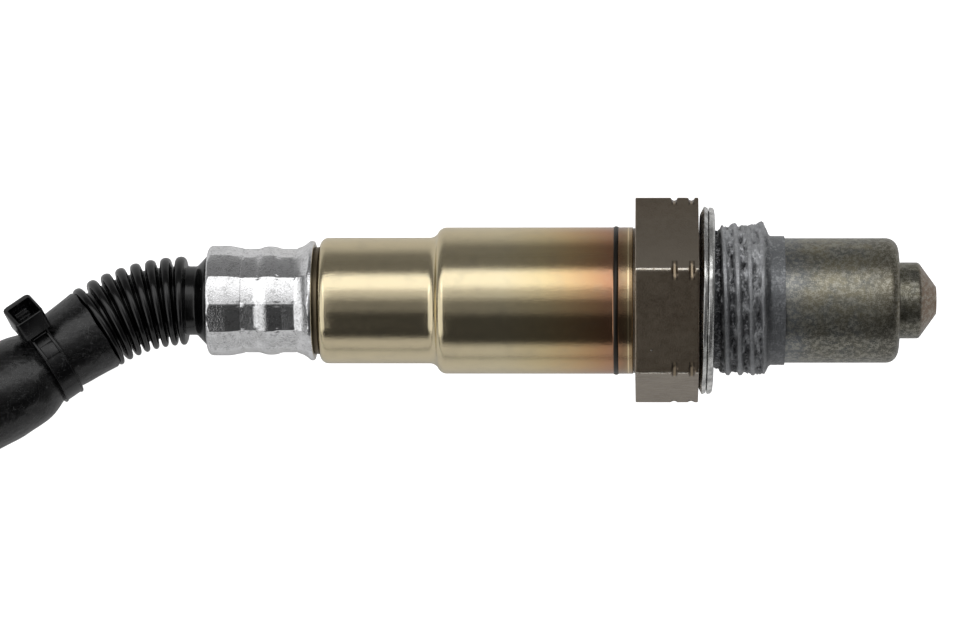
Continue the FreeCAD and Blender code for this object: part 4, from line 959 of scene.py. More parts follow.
def through(stations: Sequence[tuple[float, float]], place: float) -> float:
    """A smooth curve through stations, each a place and its value, held level past both ends.

    Args:
        stations: The places in order, with their values.
        place: Where the value is wanted.

    Returns:
        The value there.
    """
    if place <= stations[0][0]:
        return stations[0][1]
    for number in range(len(stations) - 1):
        (start, low), (end, high) = stations[number : number + 2]
        if place > end:
            continue
        before = stations[max(0, number - 1)]
        after = stations[min(len(stations) - 1, number + 2)]
        part = (place - start) / (end - start)
        leave = (high - before[1]) / (end - before[0]) * (end - start)
        arrive = (after[1] - low) / (after[0] - start) * (end - start)
        square, cube = part * part, part**3
        return (
            (2 * cube - 3 * square + 1) * low
            + (cube - 2 * square + part) * leave
            + (3 * square - 2 * cube) * high
            + (cube - square) * arrive
        )
    return stations[-1][1]


def edges_of(verts: Iterable[bmesh.types.BMVert]) -> set[bmesh.types.BMEdge]:
    """Every edge that meets these vertices."""
    return {edge for vertex in verts for edge in vertex.link_edges}


def arc_block(
    mesh: bmesh.types.BMesh,
    sides: tuple[float, float],
    radii: tuple[float, float],
    arc: tuple[float, float],
    width: float = 0.05,
) -> None:
    """Adds a block that is bent round X.

    Args:
        mesh: Takes the block.
        sides: Where it starts and ends along X.
        radii: Its inner and outer radius.
        arc: Where it starts and ends round X, in degrees from +Z towards -Y.
        width: How far its edges are rounded.
    """
    section = ((sides[0], radii[0]), (sides[0], radii[1]), (sides[1], radii[1]), (sides[1], radii[0]))
    corners = [mesh.verts.new((side, 0.0, radius)) for side, radius in section]
    loop = [mesh.edges.new(pair) for pair in zip(corners, corners[1:] + corners[:1])]
    start, end = (math.radians(angle) for angle in arc)
    bmesh.ops.rotate(mesh, verts=corners, matrix=Matrix.Rotation(start, 3, "X"))
    known = set(mesh.verts)
    made = bmesh.ops.spin(
        mesh,
        geom=corners + loop,
        cent=Vector(),
        axis=X_AXIS,
        angle=end - start,
        steps=max(3, round(math.degrees(end - start) / 4.0)),
    )
    last = [part for part in made["geom_last"] if isinstance(part, bmesh.types.BMEdge)]
    bmesh.ops.contextual_create(mesh, geom=loop)
    bmesh.ops.contextual_create(mesh, geom=last)
    block = set(corners) | (set(mesh.verts) - known)
    faces = list({face for vertex in block for face in vertex.link_faces})
    bmesh.ops.recalc_face_normals(mesh, faces=faces)
    hard = [edge for edge in edges_of(block) if edge.calc_face_angle(0.0) > 0.7]
    rounded(mesh, hard, width)


def softened(
    node: bpy.types.Object, finish: Finish, width: float, turn: float = 35.0
) -> bpy.types.Object:
    """A finer piece in a CAD node's place: its copy with the hard edges rounded.

    Args:
        node: The CAD node, which is left as it is.
        finish: The new piece's material.
        width: How far the edges are rounded, in millimetres.
        turn: The angle in degrees past which an edge counts as hard.

    Returns:
        The new piece.
    """
    mesh = bmesh.new()
    mesh.from_mesh(node.data)
    mesh.transform(node.matrix_world)
    bmesh.ops.remove_doubles(mesh, verts=mesh.verts, dist=2e-6)
    flat = math.radians(0.5)
    bmesh.ops.dissolve_limit(mesh, angle_limit=flat, verts=mesh.verts, edges=mesh.edges)
    hard = [edge for edge in mesh.edges if edge.calc_face_angle(0.0) > math.radians(turn)]
    rounded(mesh, hard, width * MM, 2)
    bmesh.ops.recalc_face_normals(mesh, faces=mesh.faces)
    return add_piece(f"{node.name}_rounded", mesh, finish, [node.name], 30.0)


# Sub-assemblies


@dataclass
class Sleeve:
    """The drawn protective sleeve: weld bead, stepped body and neck."""

    large_radius: float = 8.83
    small_radius: float = 7.6
    front: float = -9.9
    weld: float = WELD
    weld_width: float = 0.6
    weld_height: float = 0.13
    step_front: float = -33.08
    step_rear: float = -33.73
    rear: float = SLEEVE_REAR
    neck_radius: float = 6.5
    neck_foot: float = 5.7
    neck_end: float = -52.5
    wall: float = 0.5

    def profile(self) -> list[tuple[float, ...]]:
        """The section from the front mouth, round the outside and back inside.

        Returns:
            Pairs or threes of place along X, radius and how far the corner is rounded.
        """
        bore = self.large_radius - self.wall
        small_bore = self.small_radius - self.wall
        half = self.weld_width / 2
        top = self.large_radius + self.weld_height
        return [
            (self.front, bore),
            (self.front, self.large_radius, 0.12),
            (self.weld + half, self.large_radius, 0.1),
            (self.weld + half / 2, top, 0.1),
            (self.weld - half / 2, top, 0.1),
            (self.weld - half, self.large_radius, 0.1),
            (self.step_front, self.large_radius, 0.65),
            (self.step_rear, self.small_radius, 0.65),
            (self.rear, self.small_radius, 0.92),
            (self.rear - 0.05, self.neck_radius, 0.15),
            (self.rear - 0.9, self.neck_radius - 0.1, 0.2),
            (self.rear - 2.2, self.neck_foot),
            (self.neck_end, self.neck_foot),
            (self.neck_end, self.neck_foot - self.wall),
            (self.rear + self.wall, self.neck_foot - self.wall),
            (self.rear + self.wall, small_bore),
            (self.step_rear - self.wall / 2, small_bore),
            (self.step_front - self.wall / 2, bore),
        ]

    def build(self) -> None:
        """Turns the sleeve."""
        mesh = spun(self.profile(), 192, rows=1.2)
        mesh.transform(LYING)
        add_piece("sleeve_shell", mesh, Palette.SLEEVE, ["protective_sleeve"], 50.0)


@dataclass
class Collar:
    """The bright collar: twelve flats along it, two bands pressed deeper and a flared rim."""

    radius: float = 6.67
    flat: float = 6.5
    slope_start: float = -58.85
    band_flat: float = 6.14
    band_edge: float = 0.09
    band_half: float = 1.0
    bands: tuple[float, float] = (-55.85, -51.45)
    ridge_flat: float = 6.42
    swell: float = 0.35
    rear: float = -61.25
    rim: float = -48.3
    rim_radius: float = 7.24
    wall: float = 0.4
    flats: int = 12
    columns: int = 360
    mouth: float = 5.45
    tick: float = 0.07
    skin: float = 0.04
    roll: float = math.radians(-6.3)

    def jaw_face(self, x: float) -> float:
        """How far from the axis the jaws' faces stand at a place along the collar.

        Args:
            x: The place along the axis, in millimetres.

        Returns:
            The distance in millimetres.
        """
        rear, front = self.bands
        for band in self.bands:
            if abs(x - band) <= self.band_half:
                return self.band_flat
        foot = self.band_flat + self.band_edge
        if x > front:
            along = x - front - self.band_half
            return foot + 0.1 * along + 0.27 * along * along
        if x > rear:
            part = (x - (rear + front) / 2) / ((front - rear) / 2 - self.band_half)
            return self.ridge_flat - (self.ridge_flat - foot) * part * part
        slope = smooth_step(x, self.slope_start, rear - self.band_half)
        return self.flat + (foot - self.flat) * slope

    def radius_at(self, x: float, angle: float, radius: float) -> float:
        """The radius where a jaw has pressed a flat, and the present one elsewhere.

        Args:
            x: The place along the axis, in millimetres.
            angle: The angle round it from +Z towards +Y.
            radius: The present radius.

        Returns:
            The new radius.
        """
        if radius < self.band_flat - 0.15:
            return radius
        share = FULL_TURN / self.flats
        off = (angle - self.roll + share / 2) % share - share / 2
        face = self.jaw_face(x)
        bent = face + (face / math.cos(off) - face) * (1.0 - self.swell)
        step = min(abs(abs(x - band) - self.band_half) for band in self.bands)
        if abs(off) > 0.21 and step < 0.12:
            bent -= self.tick
        return min(radius, bent + self.skin * self.swell)

    def build(self) -> None:
        """Turns the collar and presses its flats."""
        rear, front = self.bands
        lines = [self.slope_start]
        for band in self.bands:
            lines += [band - self.band_half - 0.05, band - self.band_half]
            lines += [band + self.band_half, band + self.band_half + 0.05]
        bore = self.band_flat - self.wall
        mesh = spun(
            [
                (self.rear, self.mouth),
                (self.rear + 0.1, self.radius - 0.35, 0.2),
                (self.rear + 0.45, self.radius, 0.3),
                *((line, self.radius) for line in lines),
                (self.rim - 1.7, self.radius, 0.5),
                (self.rim - 0.6, self.rim_radius, 0.28),
                (self.rim, self.rim_radius, 0.26),
                (self.rim, self.rim_radius - self.wall),
                (self.rim - 1.5, 6.0),
                (front, bore),
                (self.rear + 0.6, bore),
                (self.rear + 0.6, self.mouth),
            ],
            self.columns,
            rows=0.3,
        )
        mesh.transform(Matrix.Rotation(-self.roll, 4, "X"))
        reshape(mesh, self.radius_at)
        mesh.transform(LYING)
        add_piece("collar_shell", mesh, Palette.COLLAR, ["crimp_collar"], 25.0)


@dataclass
class Housing:
    """The steel housing: hexagon with notched corners, undercut, greased thread and skirt."""

    flat: float = 11.0
    corner: float = 12.64
    hex_front: float = -2.1
    hex_rear: float = -9.66
    notches: tuple[float, float] = NOTCHES
    notch_width: float = 0.75
    notch_depths: tuple[float, ...] = (0.5, 0.55, 0.5, 0.5, 0.3, 0.42)
    thread_start: float = 0.6
    crest: float = 9.0
    root: float = 8.12
    pitch: float = 1.5
    lead: float = 1.135
    skirt: float = 7.76
    smear: float = 8.5
    smear_swing: float = 0.5
    smear_top: float = 0.45
    smear_thin: float = 0.6
    spare: float = 1.7
    bore: float = 7.0

    def hex_radius(self, x: float, angle: float, radius: float) -> float:
        """The hexagon's outline, with its corners worn and notched.

        Args:
            x: The place along the axis, in millimetres.
            angle: The angle round it from +Z towards +Y.
            radius: The present radius.

        Returns:
            The new radius.
        """
        if radius < self.flat - 1.0:
            return radius
        share = FULL_TURN / 6
        off = (angle + share / 2) % share - share / 2
        full = self.flat / math.cos(off)
        worn = self.corner - 0.05 * abs(noise.noise(Vector((1.7 * x, 3.0 * angle, 2.0))))
        edge = min(full, worn)
        depth = self.notch_depths[int(angle // share) % 6]
        for notch in self.notches:
            near = abs(x - notch) / (self.notch_width / 2)
            if near < 1.0:
                edge = min(edge, self.corner + 0.04 - depth * math.sqrt(1.0 - near * near))
        return edge - (self.flat + self.spare - radius)

    def gather(self, mesh: bmesh.types.BMesh) -> None:
        """Draws the columns of a turned shape together at the hexagon's corners.

        Args:
            mesh: The turned shape, in millimetres.
        """
        for vertex in mesh.verts:
            x, y, z = vertex.co
            angle = math.atan2(y, z)
            moved = angle + 0.8 * math.sin(6.0 * angle) / 6.0
            radius = math.hypot(y, z)
            vertex.co = (x, radius * math.sin(moved), radius * math.cos(moved))

    def build_hexagon(self) -> None:
        """The hexagon as a turned ring, drawn out to six corners."""
        outer = self.flat + self.spare
        mesh = spun(
            [
                (self.hex_rear - 0.22, 8.2),
                (self.hex_rear - 0.22, 8.72),
                (self.hex_rear, 8.72),
                (self.hex_rear, outer, 0.15),
                (self.hex_front, outer, 0.15),
                (self.hex_front, 8.0),
                (self.thread_start, 8.0),
                (self.thread_start, self.bore),
                (self.hex_rear, self.bore),
            ],
            240,
            rows=0.12,
        )
        self.gather(mesh)
        reshape(mesh, self.hex_radius)
        mesh.transform(LYING)
        add_piece("hexagon", mesh, Palette.HOUSING, ["sensor_housing"], 30.0)

    def thread_radius(self, x: float, angle: float, radius: float) -> float:
        """The right-handed thread's relief under smears of grease.

        Args:
            x: The place along the axis, in millimetres.
            angle: The angle round it from +Z towards +Y.
            radius: The present radius.

        Returns:
            The new radius.
        """
        turn = ((x - self.lead) / self.pitch + angle / FULL_TURN + 0.5) % 1.0
        height = min(1.0, max(0.0, 1.35 * (1.0 - 2.2 * abs(turn - 0.5))))
        fade = smooth_step(x, 0.3, 0.75)
        relief = self.root + (self.crest - self.root) * height * fade - 0.07 * (1.0 - fade)
        spot = Vector((1.1 * x, 4.4 * math.sin(angle), 4.4 * math.cos(angle)))
        lift = math.sin(angle - CAMERA_LEAN)
        smear = self.smear + self.smear_swing * noise.fractal(spot, 0.7, 2.2, 4)
        smear += self.smear_top * max(0.0, lift) ** 4 + 0.2 * smooth_step(x, 3.0, 5.5)
        smear -= self.smear_thin * (1.0 - fade)
        lump = 0.05 * noise.noise(3.0 * spot) + 0.03 * noise.noise(8.0 * spot)
        ended = smooth_step(x, 5.6, 6.6)
        return (max(relief, smear) + lump) * (1.0 - ended) + (self.skirt + 0.5 * lump) * ended

    def build_thread(self) -> None:
        """The threaded length as a fine turned tube, reshaped to crests, grooves and grease."""
        mesh = spun([(-0.3, 7.4), (-0.3, 8.2), (8.2, 8.2), (8.2, 7.4)], 400, rows=0.1)

        def shaped(x: float, angle: float, radius: float) -> float:
            """Only the outer wall of the threaded length is shaped."""
            return min(radius, 7.7) if radius < 8.15 else self.thread_radius(x, angle, radius)

        reshape(mesh, shaped)
        mesh.transform(LYING)
        add_piece("thread", mesh, Palette.THREAD, ["sensor_housing"], 60.0)

    def build(self) -> None:
        """The housing's two pieces."""
        self.build_hexagon()
        self.build_thread()


@dataclass
class Washer:
    """The folded crush washer, slightly tilted on the thread."""

    radius: float = 11.35
    bore: float = 8.55
    tilt: float = math.radians(-0.75)

    def build(self) -> None:
        """Turns the washer's folded section and dents it a little."""
        rim = self.radius
        mesh = spun(
            [
                (-2.05, self.bore),
                (-2.05, rim - 1.05, 0.15),
                (-1.55, rim, 0.08),
                (-1.1, rim - 0.22, 0.1),
                (-1.04, rim - 0.75, 0.03),
                (-0.98, rim - 0.12, 0.1),
                (-0.37, rim - 0.16, 0.35),
                (-0.25, rim - 1.2, 0.2),
                (-0.25, self.bore),
            ],
            240,
            rows=0.25,
        )

        def dented(x: float, angle: float, radius: float) -> float:
            """Slight waves and small dents round the rims.

            Args:
                x: The place along the axis.
                angle: The angle round it.
                radius: The present radius.

            Returns:
                The new radius.
            """
            spot = Vector((2.0 * x, 4.0 * math.sin(angle), 4.0 * math.cos(angle)))
            wave = noise.noise(spot) + 0.5 * noise.noise(4.0 * spot)
            return radius + 0.05 * wave * smooth_step(radius, 9.5, 11.0)

        reshape(mesh, dented)
        middle = Vector((-1.15, 0.0, 0.0))
        cocked = Matrix.Translation(middle) @ Matrix.Rotation(self.tilt, 4, "Z")
        mesh.transform(LYING @ (cocked @ Matrix.Translation(-middle)))
        add_piece("washer_rings", mesh, Palette.WASHER, ["crush_washer"], 35.0)


@dataclass
class Boot:
    """The corrugated rubber boot, turned straight and then carried round its bend."""

    bend_start: float = -63.6
    first_ring: float = 0.8
    pitch: float = 1.51
    rings: int = 8
    ring_radius: float = 5.36
    valley: float = 4.16
    lip: float = 5.37
    bend: float = math.radians(37.4)
    roll: float = math.radians(36.0)

    def bend_length(self) -> float:
        """How long the boot's axis is round the bend, in millimetres."""
        return 2 * self.first_ring + (self.rings - 1) * self.pitch

    def turn(self, angle: float) -> Matrix:
        """The turn that carries the straight axis round the bend by an angle.

        Args:
            angle: How far round the bend.

        Returns:
            The turn, in millimetres.
        """
        inward = Vector((0.0, -math.cos(self.roll), math.sin(self.roll)))
        axis = Vector((0.0, math.sin(self.roll), math.cos(self.roll)))
        centre = Vector((self.bend_start, 0.0, 0.0)) + inward * self.bend_length() / self.bend
        bent = Matrix.Translation(centre) @ Matrix.Rotation(angle, 4, axis)
        return bent @ Matrix.Translation(-centre)

    def end(self) -> Matrix:
        """The place and turn of the boot's end, in metres, with the axis along -X."""
        return LYING @ self.turn(self.bend)

    def profile(self) -> list[tuple[float, ...]]:
        """The outline from the flange inside the collar to the end of the spigot.

        Returns:
            Pairs or threes of place along X, radius and how far the corner is rounded.
        """
        spots: list[tuple[float, ...]] = [
            (-60.2, 3.2),
            (-60.2, 5.4),
            (-61.42, self.lip, 0.08),
            (-62.55, self.valley, 0.2),
            (self.bend_start + 0.1, self.valley, 0.1),
        ]
        for ring in range(self.rings):
            middle = self.bend_start - self.first_ring - ring * self.pitch
            half = 0.45
            if ring == self.rings - 1:
                middle, half = middle - 0.1, 0.4
            spots += [
                (middle + half + 0.2, self.valley + 0.06, 0.1),
                (middle + half, self.ring_radius, half - 0.03),
                (middle - half, self.ring_radius, half - 0.03),
                (middle - half - 0.2, self.valley + 0.06, 0.1),
            ]
        end = self.bend_start - self.bend_length()
        spots += [(end - 8.0, self.valley, 0.2), (end - 8.0, 3.2)]
        return spots

    def build(self) -> bpy.types.Object:
        """The boot's shell, bent to its place.

        Returns:
            The boot.
        """
        mesh = spun(self.profile(), 96, rows=0.9)
        length = self.bend_length()
        for vertex in mesh.verts:
            along = self.bend_start - vertex.co.x
            if along <= 0.0:
                continue
            angle = self.bend * min(1.0, along / length)
            flat = Vector((self.bend_start - max(0.0, along - length), *vertex.co.yz))
            vertex.co = self.turn(angle) @ flat
        mesh.transform(LYING)
        return add_piece("boot_bellows", mesh, Palette.BOOT, ["bellows_boot"], 50.0)


@dataclass
class Hose:
    """The rubber hose over the leads, a free cord from the boot to the connector."""

    length: float = 0.228
    diameter: float = 0.0105
    exit: tuple[float, float, float] = (-0.05715, -0.0031, 0.00773)
    route: tuple[tuple[float, float, float], ...] = (
        (-0.05715, -0.0031, 0.00773),
        (-0.0818, -0.01784, 0.0164),
        (-0.11245, -0.0287, 0.0106),
        (-0.14485, -0.0329, 0.0053),
        (-0.17865, -0.0301, 0.0053),
        (-0.21215, -0.0216, 0.0053),
        (-0.24615, -0.0161, 0.0053),
        (-0.27615, -0.0156, 0.0053),
    )
    radii: tuple[tuple[float, float], ...] = (
        (0.0, 5.25),
        (1.5, 5.1),
        (3.4, 4.95),
        (5.2, 4.72),
        (6.5, 4.47),
        (7.9, 4.9),
        (9.2, 5.38),
        (11.0, 5.67),
        (14.0, 5.9),
        (19.0, 5.78),
        (28.0, 5.4),
        (40.0, 5.25),
    )
    sag: tuple[tuple[float, float], ...] = (
        (5.5, 0.0),
        (7.5, 0.35),
        (10.0, 0.5),
        (13.0, 0.3),
        (18.0, 0.0),
    )
    slump: tuple[float, float, float] = (0.0, -0.974, -0.227)
    facets: int = 56
    cut_waves: float = 0.35
    skin_waves: float = 0.05
    path: list[Vector] = field(default_factory=list)

    def follow(self) -> None:
        """Reads the smooth line through the route from its spline."""
        curve = bpy.data.curves.new("hose_line", "CURVE")
        curve.dimensions = "3D"
        curve.resolution_u = 80
        spline = curve.splines.new("NURBS")
        spline.points.add(len(self.route) - 1)
        for point, spot in zip(spline.points, self.route):
            point.co = (*spot, 1.0)
        spline.order_u = 3
        spline.use_endpoint_u = True
        line = into_scene("hose_line", curve)
        drawn = bpy.data.meshes.new_from_object(line)
        self.path = [vertex.co.copy() for vertex in drawn.vertices]
        bpy.data.objects.remove(line)
        bpy.data.curves.remove(curve)
        bpy.data.meshes.remove(drawn)

    def add_rings(self, mesh: bmesh.types.BMesh) -> list[list[bmesh.types.BMVert]]:
        """The hose's rings along the line, each as wide as the hose is there, with a worn skin.

        Args:
            mesh: Takes the rings.

        Returns:
            Each ring's vertices, from the boot to the connector.
        """
        rings = []
        ahead = (self.path[1] - self.path[0]).normalized()
        side = ahead.cross(Vector((0.0, 0.0, 1.0))).normalized()
        slump = Vector(self.slump)
        along = 0.0
        for number, spot in enumerate(self.path):
            before = self.path[max(0, number - 1)]
            after = self.path[min(len(self.path) - 1, number + 1)]
            ahead = (after - before).normalized()
            side = (side - ahead * side.dot(ahead)).normalized()
            over = ahead.cross(side)
            along += (spot - before).length / MM
            middle = spot + slump * through(self.sag, along) * MM
            frame = facing(side, over, ahead, middle)
            radius = through(self.radii, along) * MM
            made = bmesh.ops.create_circle(mesh, segments=self.facets, radius=radius, matrix=frame)
            ring = made["verts"]
            rings.append(ring)
            cut = 1.0 - smooth_step(along, 0.0, 1.2)
            for vertex in ring:
                place = vertex.co / MM
                vertex.co += ahead * cut * self.cut_waves * noise.noise(0.45 * place) * MM
                outward = (vertex.co - middle).normalized()
                vertex.co += outward * self.skin_waves * noise.noise(0.5 * place) * MM
        return rings

    def build(self, carried: Callable[[], list[bpy.types.Object]]) -> bpy.types.Object:
        """Args:
            carried: Gives the pieces at the hose; it is called, but what it gives is not used.

        Returns:
            The hose.
        """
        mesh = bmesh.new()
        rings = self.add_rings(mesh)
        for one, other in zip(rings, rings[1:]):
            ends = [edge for edge in edges_of(one + other) if len(edge.link_faces) < 2]
            loops = [e for e in ends if set(e.verts) <= set(one) or set(e.verts) <= set(other)]
            bmesh.ops.bridge_loops(mesh, edges=loops)
        for ring in (rings[0], rings[-1]):
            rim = [edge for edge in edges_of(ring) if set(edge.verts) <= set(ring)]
            bmesh.ops.contextual_create(mesh, geom=rim)
        bmesh.ops.recalc_face_normals(mesh, faces=mesh.faces)
        hose = add_piece("hose", mesh, Palette.HOSE, ["harness_hose"], 60.0)
        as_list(carried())
        return hose


@dataclass
class Tie:
    """The cable tie: a strap with two rails, the head over it and the guide beside the head."""

    station: float = 6.5
    roll: float = math.radians(-63.7)
    seat: float = 4.49
    strap: float = 5.34
    half: float = 1.2
    rail: float = 0.28
    groove: float = 0.12
    head: tuple[float, float] = (3.8, 4.35)
    head_side: float = 0.12
    head_foot: float = 6.0
    neck: tuple[float, float] = (2.8, 3.6)
    neck_foot: float = 4.3
    head_top: float = 8.77
    slot: tuple[tuple[float, float], tuple[float, float]] = ((-1.45, 1.6), (-1.85, 1.45))
    slot_depth: float = 2.4

    def add_strap(self, mesh: bmesh.types.BMesh) -> None:
        """The strap round the hose, with a shallow groove between its rails.

        Args:
            mesh: Takes it.
        """
        inner = self.half - self.rail
        turned = spun(
            [
                (-self.half, self.seat),
                (-self.half, self.strap, 0.08),
                (-inner - 0.06, self.strap, 0.05),
                (-inner, self.strap - self.groove),
                (inner, self.strap - self.groove),
                (inner + 0.06, self.strap, 0.05),
                (self.half, self.strap, 0.08),
                (self.half, self.seat),
            ],
            120,
        )
        data = bpy.data.meshes.new("tie_strap")
        turned.to_mesh(data)
        turned.free()
        mesh.from_mesh(data)
        bpy.data.meshes.remove(data)

    def lid(self, mesh: bmesh.types.BMesh) -> bmesh.types.BMFace:
        """The head's outer face, which lies furthest out."""
        mesh.normal_update()
        return max(mesh.faces, key=lambda face: face.calc_center_median().z)

    def add_head(self, mesh: bmesh.types.BMesh) -> None:
        """The head, a block with its slot sunk into the outer face, and the neck under it.

        Args:
            mesh: Takes it.
        """
        for (long, wide), foot, top in (
            (self.neck, self.neck_foot, self.head_foot + 0.2),
            (self.head, self.head_foot, self.head_top),
        ):
            middle = Vector((0.0, self.head_side, (foot + top) / 2))
            place = Matrix.Translation(middle) @ Matrix.Diagonal((long, wide, top - foot, 1.0))
            verts = bmesh.ops.create_cube(mesh, size=1.0, matrix=place)["verts"]
            posts = [e for e in edges_of(verts) if abs(e.verts[0].co.z - e.verts[1].co.z) > 0.5]
            rounded(mesh, posts, 0.6)
        rounded(mesh, self.lid(mesh).edges, 0.2)
        lid = self.lid(mesh)
        bmesh.ops.inset_region(mesh, faces=[lid], thickness=0.2)
        spans = [(min(v.co[k] for v in lid.verts), max(v.co[k] for v in lid.verts)) for k in (0, 1)]
        for vertex in lid.verts:
            for k, (low, high) in enumerate(spans):
                part = (vertex.co[k] - low) / (high - low)
                vertex.co[k] = self.slot[k][0] + part * (self.slot[k][1] - self.slot[k][0])
        bmesh.ops.inset_region(mesh, faces=[lid], thickness=0.04, depth=-self.slot_depth)

    def add_pawl(self, mesh: bmesh.types.BMesh) -> None:
        """The tongue with its teeth, which leans from the slot's side over the strap.

        Args:
            mesh: Takes it.
        """
        outline = [(1.28, 7.9), (1.0, 7.9), (0.86, 7.6), (0.66, 7.72), (0.5, 7.35), (0.3, 7.45)]
        outline += [(0.1, 7.0), (-0.1, 7.08), (-0.15, 6.8), (0.6, 6.4), (1.28, 6.4)]
        corners = [mesh.verts.new((-1.0, y, z)) for y, z in outline]
        face = mesh.faces.new(corners)
        solid = bmesh.ops.extrude_face_region(mesh, geom=[face])["geom"]
        moved = [part for part in solid if isinstance(part, bmesh.types.BMVert)]
        bmesh.ops.translate(mesh, verts=moved, vec=(1.7, 0.0, 0.0))
        faces = {f for vertex in corners + moved for f in vertex.link_faces}
        bmesh.ops.recalc_face_normals(mesh, faces=list(faces))
        rounded(mesh, edges_of(corners + moved), 0.04)

    def add_guide(self, mesh: bmesh.types.BMesh) -> None:
        """The frame beside the head that the strap's end runs under, with its block.

        Args:
            mesh: Takes it.
        """
        inner = self.half - 0.36
        for sides in ((-self.half, -inner), (inner, self.half)):
            arc_block(mesh, sides, (5.0, 5.84), (14.0, 50.0), 0.1)
        arc_block(mesh, (-inner - 0.1, inner + 0.1), (5.0, 5.9), (14.0, 20.0), 0.1)
        arc_block(mesh, (-inner - 0.05, inner + 0.05), (5.0, 5.66), (31.0, 49.0), 0.1)

    def build(self, end: Matrix, start: float) -> bpy.types.Object:
        """Places the tie on the hose.

        Args:
            end: The place and turn of the boot's end, in metres, with the axis along -X.
            start: Where the boot's bend starts along X, in millimetres.

        Returns:
            The tie.
        """
        mesh = bmesh.new()
        self.add_strap(mesh)
        self.add_head(mesh)
        self.add_pawl(mesh)
        self.add_guide(mesh)
        seat = Matrix.Translation((start - self.station, 0.0, 0.0))
        mesh.transform(end @ seat @ Matrix.Rotation(self.roll, 4, "X"))
        return add_piece("tie", mesh, Palette.TIE, ["cable_tie"], 40.0)


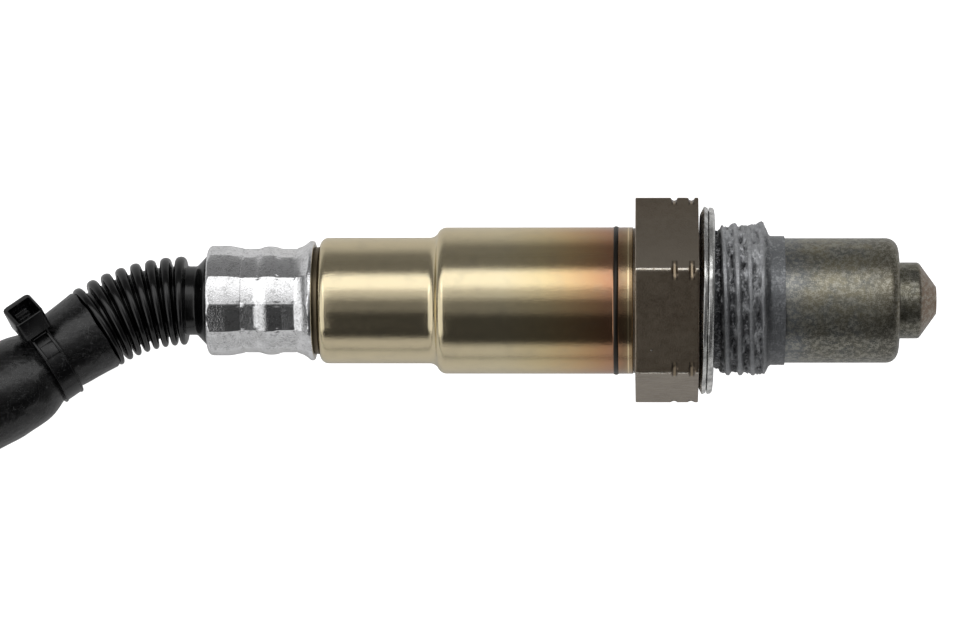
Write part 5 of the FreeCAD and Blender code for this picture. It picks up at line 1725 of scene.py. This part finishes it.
@dataclass
class Studio:
    """Pale surface, soft lights and the camera that looks down on the sensor."""

    tilt: float = math.radians(2.39)
    distance: float = 0.523
    lens: float = 162.56
    aim_along: float = -28.4
    aim_below: float = 2.35
    # The floor's glow near the sensor for other rays, a painted pool of light, and its glow where the
    # camera sees it
    glow: float = 0.12
    seen_glow: float = 1.05

    def camera(self) -> None:
        """The camera, almost overhead and turned so that the sensor's axis is level in view."""
        tilt, lean = self.tilt, CAMERA_LEAN
        ahead = math.cos(tilt)
        towards = Vector((-math.sin(tilt), ahead * math.sin(lean), ahead * math.cos(lean)))
        axis = (LYING.to_3x3() @ X_AXIS).normalized()
        right = (axis - towards * axis.dot(towards)).normalized()
        up = towards.cross(right)
        target = LYING @ (X_AXIS * self.aim_along) - up * self.aim_below * MM
        data = bpy.data.cameras.new("camera")
        data.lens = self.lens
        data.sensor_width = 36.0
        data.clip_start, data.clip_end = 0.01, 20.0
        camera = into_scene("camera", data)
        camera.matrix_world = facing(right, up, towards, target + towards * self.distance)
        bpy.context.scene.camera = camera

    def floor(self) -> None:
        """The pale surface: it glows white where the camera looks at it directly; near the sensor it
        also glows for other rays and its colour is paler, a painted pool of light for the reflections.
        """
        mesh = bmesh.new()
        bmesh.ops.create_grid(mesh, x_segments=1, y_segments=1, size=3.0)
        data = bpy.data.meshes.new("pale_floor")
        mesh.to_mesh(data)
        mesh.free()
        paper = bpy.data.materials.new("pale_paper")
        paper.use_nodes = True
        graph = Graph(paper.node_tree)
        shader = paper.node_tree.nodes["Principled BSDF"]
        seen = graph.add("LightPath").outputs["Is Camera Ray"]
        away = graph.axes(graph.add("TexCoord").outputs["Object"])[1]
        # Painted pool of light: near the sensor the floor glows for rays other than the camera's, and
        # its colour is paler
        near = graph.outside(graph.ramp(away, 0.012, 0.036))
        glow = graph.math("MAXIMUM", graph.times(near, self.glow), graph.times(seen, self.seen_glow))
        shade = graph.mix(graph.ramp(away, 0.014, 0.06), (0.86, 0.86, 0.86), (0.3, 0.3, 0.3))
        paints = {"Base Color": shade, "Roughness": 0.9, "Emission Color": (1.0, 1.0, 1.0)}
        for name, source in {**paints, "Emission Strength": glow}.items():
            graph.feed(shader.inputs[name], source)
        data.materials.append(paper)
        into_scene("pale_floor", data)

    def light(
        self, name: str, spot: tuple[float, float, float], size: tuple[float, float], power: float
    ) -> None:
        """A rectangular softbox that faces the sensor.

        Args:
            name: The lamp's name.
            spot: Its place in metres.
            size: Its width and height in metres.
            power: Its power in watts.
        """
        data = bpy.data.lights.new(name, "AREA")
        data.shape = "RECTANGLE"
        data.size, data.size_y = size
        data.energy = power
        back = Vector(spot).normalized()
        side = (X_AXIS - back * X_AXIS.dot(back)).normalized()
        into_scene(name, data).matrix_world = facing(side, back.cross(side), back, Vector(spot))

    def panel(self, name: str, lean: float, spread: float, radiance: float, away: float = 0.9) -> None:
        """A long softbox beside the camera, square to the sensor.

        Args:
            name: The lamp's name.
            lean: Its middle's angle from the vertical towards +Y, in degrees.
            spread: Half the angle that it covers, in degrees.
            radiance: How bright its face is.
            away: Its distance in metres.
        """
        angle = math.radians(lean)
        width = 2.0 * away * math.tan(math.radians(spread))
        length = 1.7
        spot = (0.0, away * math.sin(angle), away * math.cos(angle))
        self.light(name, spot, (length, width), radiance * math.pi * length * width)

    def surroundings(self) -> None:
        """A room that is pale at the height of the table and dark above."""
        world = bpy.data.worlds.new("studio")
        world.use_nodes = True
        graph = Graph(world.node_tree)
        background = world.node_tree.nodes["Background"]
        height = graph.axes(graph.add("TexCoord").outputs["Generated"])[2]
        room = graph.raised(0.045, graph.outside(graph.ramp(height, 0.37, 0.57)), 0.13)
        seen = graph.add("LightPath").outputs["Is Camera Ray"]
        graph.feed(background.inputs["Color"], (1.0, 1.0, 1.0))
        graph.feed(background.inputs["Strength"], graph.math("MAXIMUM", room, seen))
        bpy.context.scene.world = world

    def build(self) -> None:
        """Camera, floor, lights and surroundings."""
        self.camera()
        self.floor()
        self.surroundings()
        self.panel("softbox", 47.0, 14.5, 1.35)
        self.panel("spill", 24.0, 8.0, 0.55)
        self.panel("overhead", 4.0, 12.0, 0.14)
        self.panel("low_panel", -73.0, 13.0, 0.38)
        self.light("left_panel", (-0.69, -0.045, 0.58), (0.957, 1.41), 3.6)
        bpy.context.scene.view_settings.view_transform = "Standard"


def dress_nodes(nodes: dict[str, bpy.types.Object]) -> None:
    """Gives each CAD node that stays in sight its material.

    Args:
        nodes: The frame's nodes by name.
    """
    wanted = [(name, finish) for finish, names in FINISH_NODES for name in names]
    for colour, (base, pale) in INSULATION.items():
        skin = Moulded(
            f"{colour}_insulation", base, pale, 0.35, wave_depth=0.02, scratches=0.1, dust=0.03
        )
        wanted += [(f"{end}_lead_{colour}", skin) for end in ("sensor", "connector")]
    for name, finish in wanted:
        data = nodes[name].data
        data.materials.clear()
        data.materials.append(finish.material())
        LOG.info("%s: %s", name, finish.name)


def round_connector(nodes: dict[str, bpy.types.Object]) -> list[bpy.types.Object]:
    """Finer pieces for the connector's plastic parts, whose edges are rounded.

    Args:
        nodes: The frame's nodes by name.

    Returns:
        The three pieces.
    """
    return [
        softened(nodes["connector_housing"], Palette.CONNECTOR, 0.2),
        softened(nodes["connector_rear_cover"], Palette.CONNECTOR, 0.15),
        softened(nodes["secondary_lock"], Palette.LOCK, 0.1),
    ]


def on_hose(
    nodes: dict[str, bpy.types.Object], made: Iterable[bpy.types.Object]
) -> list[bpy.types.Object]:
    """The pieces on the hose: those made here and the CAD nodes at both its ends.

    Args:
        nodes: The frame's nodes by name.
        made: The pieces made here.

    Returns:
        All of them.
    """
    starts = ("sensor_lead", "connector_lead", "terminal_pin")
    names = [name for name in nodes if name.startswith(starts)]
    return [*made, *(nodes[name] for name in [*names, "wire_seal"])]


def main() -> None:
    """Builds the whole scene round the frame."""
    logging.basicConfig(level=logging.INFO, format="%(name)s %(message)s")
    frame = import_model()
    nodes = frame["nodes"]
    Studio().build()
    dress_nodes(nodes)
    boot = Boot()
    bellows = boot.build()
    tie = Tie().build(boot.end(), boot.bend_start)
    hose = Hose()
    hose.follow()
    hose.build(lambda: on_hose(nodes, [bellows, tie, *round_connector(nodes)]))
    Sleeve().build()
    Collar().build()
    Housing().build()
    Washer().build()


if __name__ == "__main__":
    main()
